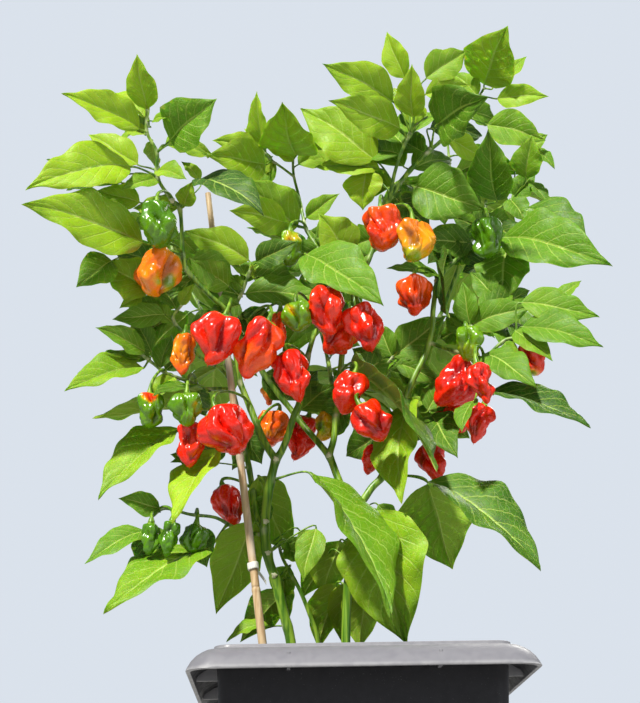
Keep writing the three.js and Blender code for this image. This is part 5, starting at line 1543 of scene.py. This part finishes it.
def tieParts():
    # A creased band round the cane, and its flat end laid towards the left stem.
    ends = spot(cane["ends"])
    way = unit(ends[1] - ends[0])
    middle = ends[0] + (ends[1] - ends[0]) * tie["along"]
    first, second = crossWays(way, np.array([0, -1.0, 0]))
    around, edge = tie["around"], tie["rounding"]
    angle = np.linspace(0, 2 * math.pi, around, endpoint=False)
    inner, high = tie["inside"] / 1000, tie["half"] / 1000
    outer = (tie["inside"] + tie["thick"]) / 1000
    section = [[inner, -high], [outer - edge, -high], [outer, -high * 0.8],
               [outer - edge * 2 / 3, -high * 0.2], [outer, high * 0.3], [outer - edge, high],
               [inner, high]]
    wave = tie["wave"] * np.sin(3 * angle)
    rings = [middle + way * (up + wave)[:, None]
             + first * (r * np.cos(angle))[:, None] + second * (r * np.sin(angle))[:, None]
             for r, up in section]
    turn = np.arange(around)
    nextTurn = (turn + 1) % around
    last = (len(section) - 1) * around
    inside = np.stack([last + turn, last + nextTurn, nextTurn, turn], axis=-1)
    band = {"points": np.vstack(rings),
            "quads": np.vstack([gridQuads(len(section), around, True), inside])}
    goal = spot([tie["end"]])[0]
    start = middle + unit(goal - middle) * inner
    side = unit(np.cross(goal - start, way))
    steps, sides = tie["endSteps"], tie["endSides"]
    path = bezier([start, (start + goal) / 2 + way * tie["endRise"], goal],
                  np.linspace(0, 1, steps))
    angle = np.linspace(0, 2 * math.pi, sides, endpoint=False)
    rings = (path[:, None] + way * (tie["endWide"] * np.cos(angle))[None, :, None]
             + side * (tie["endThick"] * np.sin(angle))[None, :, None])
    end = {"points": np.vstack([rings.reshape(-1, 3), path[0], path[-1]]),
           "quads": gridQuads(steps, sides, True), "triangles": endFans(steps, sides)}
    return [band, end]


meshPiece("cane_tie_fine", tieParts(), [tieMaterial()], "cane_tie")
print("cane and tie: done")


studio = {
    "floor": (0.42, 0.42, 0.41, 1), "floorHalf": 6, "world": (0.74, 0.80, 0.88, 1),
    "worldSeen": 0.95, "worldLight": 0.26,
    "aim": (0, 0, 0.35),
    "key": {"kind": "SUN", "place": (-0.9, -1.5, 2.4), "soft": 5.0, "power": 6.0,
            "colour": (1, 0.97, 0.90)},
    "fill": {"kind": "AREA", "place": (1.5, -1.5, 1.3), "soft": 1.2, "power": 12,
             "colour": (0.92, 0.96, 1)},
    "back": {"kind": "AREA", "place": (0.9, 1.3, 1.8), "soft": 1.0, "power": 20,
             "colour": (1, 0.98, 0.92)},
}
floorMaterial, _ = newMaterial("studioFloor", Base_Color=studio["floor"], Roughness=0.9)
floorMesh = bpy.data.meshes.new("floor")
reach = studio["floorHalf"]
floorMesh.from_pydata([(x * reach, y * reach, 0) for x, y in ((-1, -1), (1, -1), (1, 1), (-1, 1))],
                      [], [(0, 1, 2, 3)])
floorMesh.materials.append(floorMaterial)
floor = bpy.data.objects.new("floor", floorMesh)
bpy.context.scene.collection.objects.link(floor)

world = bpy.data.worlds.new("studioWorld")
world.use_nodes = True
background = world.node_tree.nodes["Background"]
background.inputs["Color"].default_value = studio["world"]
# The pale backdrop is bright to look at, and lights the plant more softly.
rays = world.node_tree.nodes.new("ShaderNodeLightPath")
strength = world.node_tree.nodes.new("ShaderNodeMapRange")
strength.inputs["To Min"].default_value = studio["worldLight"]
strength.inputs["To Max"].default_value = studio["worldSeen"]
world.node_tree.links.new(rays.outputs["Is Camera Ray"], strength.inputs["Value"])
world.node_tree.links.new(strength.outputs["Result"], background.inputs["Strength"])
bpy.context.scene.world = world
for name in ("key", "fill", "back"):
    setting = studio[name]
    light = bpy.data.lights.new(name + "Light", setting["kind"])
    if setting["kind"] == "SUN":
        light.angle = math.radians(setting["soft"])
    else:
        light.size = setting["soft"]
    light.energy = setting["power"]
    light.color = setting["colour"]
    lamp = bpy.data.objects.new(name + "Light", light)
    bpy.context.scene.collection.objects.link(lamp)
    lamp.location = setting["place"]
    lamp.rotation_euler = (Vector(studio["aim"]) - lamp.location).to_track_quat(
        "-Z", "Y").to_euler()

camera = bpy.data.cameras.new("photoView")
camera.lens = viewing["lens"]
camera.sensor_width = viewing["sensor"]
camera.clip_start, camera.clip_end = viewing["clip"]
viewer = bpy.data.objects.new("photoView", camera)
bpy.context.scene.collection.objects.link(viewer)
turned = Matrix([[boardRight[k], boardUp[k], -sight[k]] for k in range(3)])
viewer.matrix_world = Matrix.Translation(Vector(eye)) @ turned.to_4x4()
bpy.context.scene.camera = viewer
bpy.context.scene.view_settings.view_transform = "Standard"
bpy.context.view_layer.update()
print("stage: done")
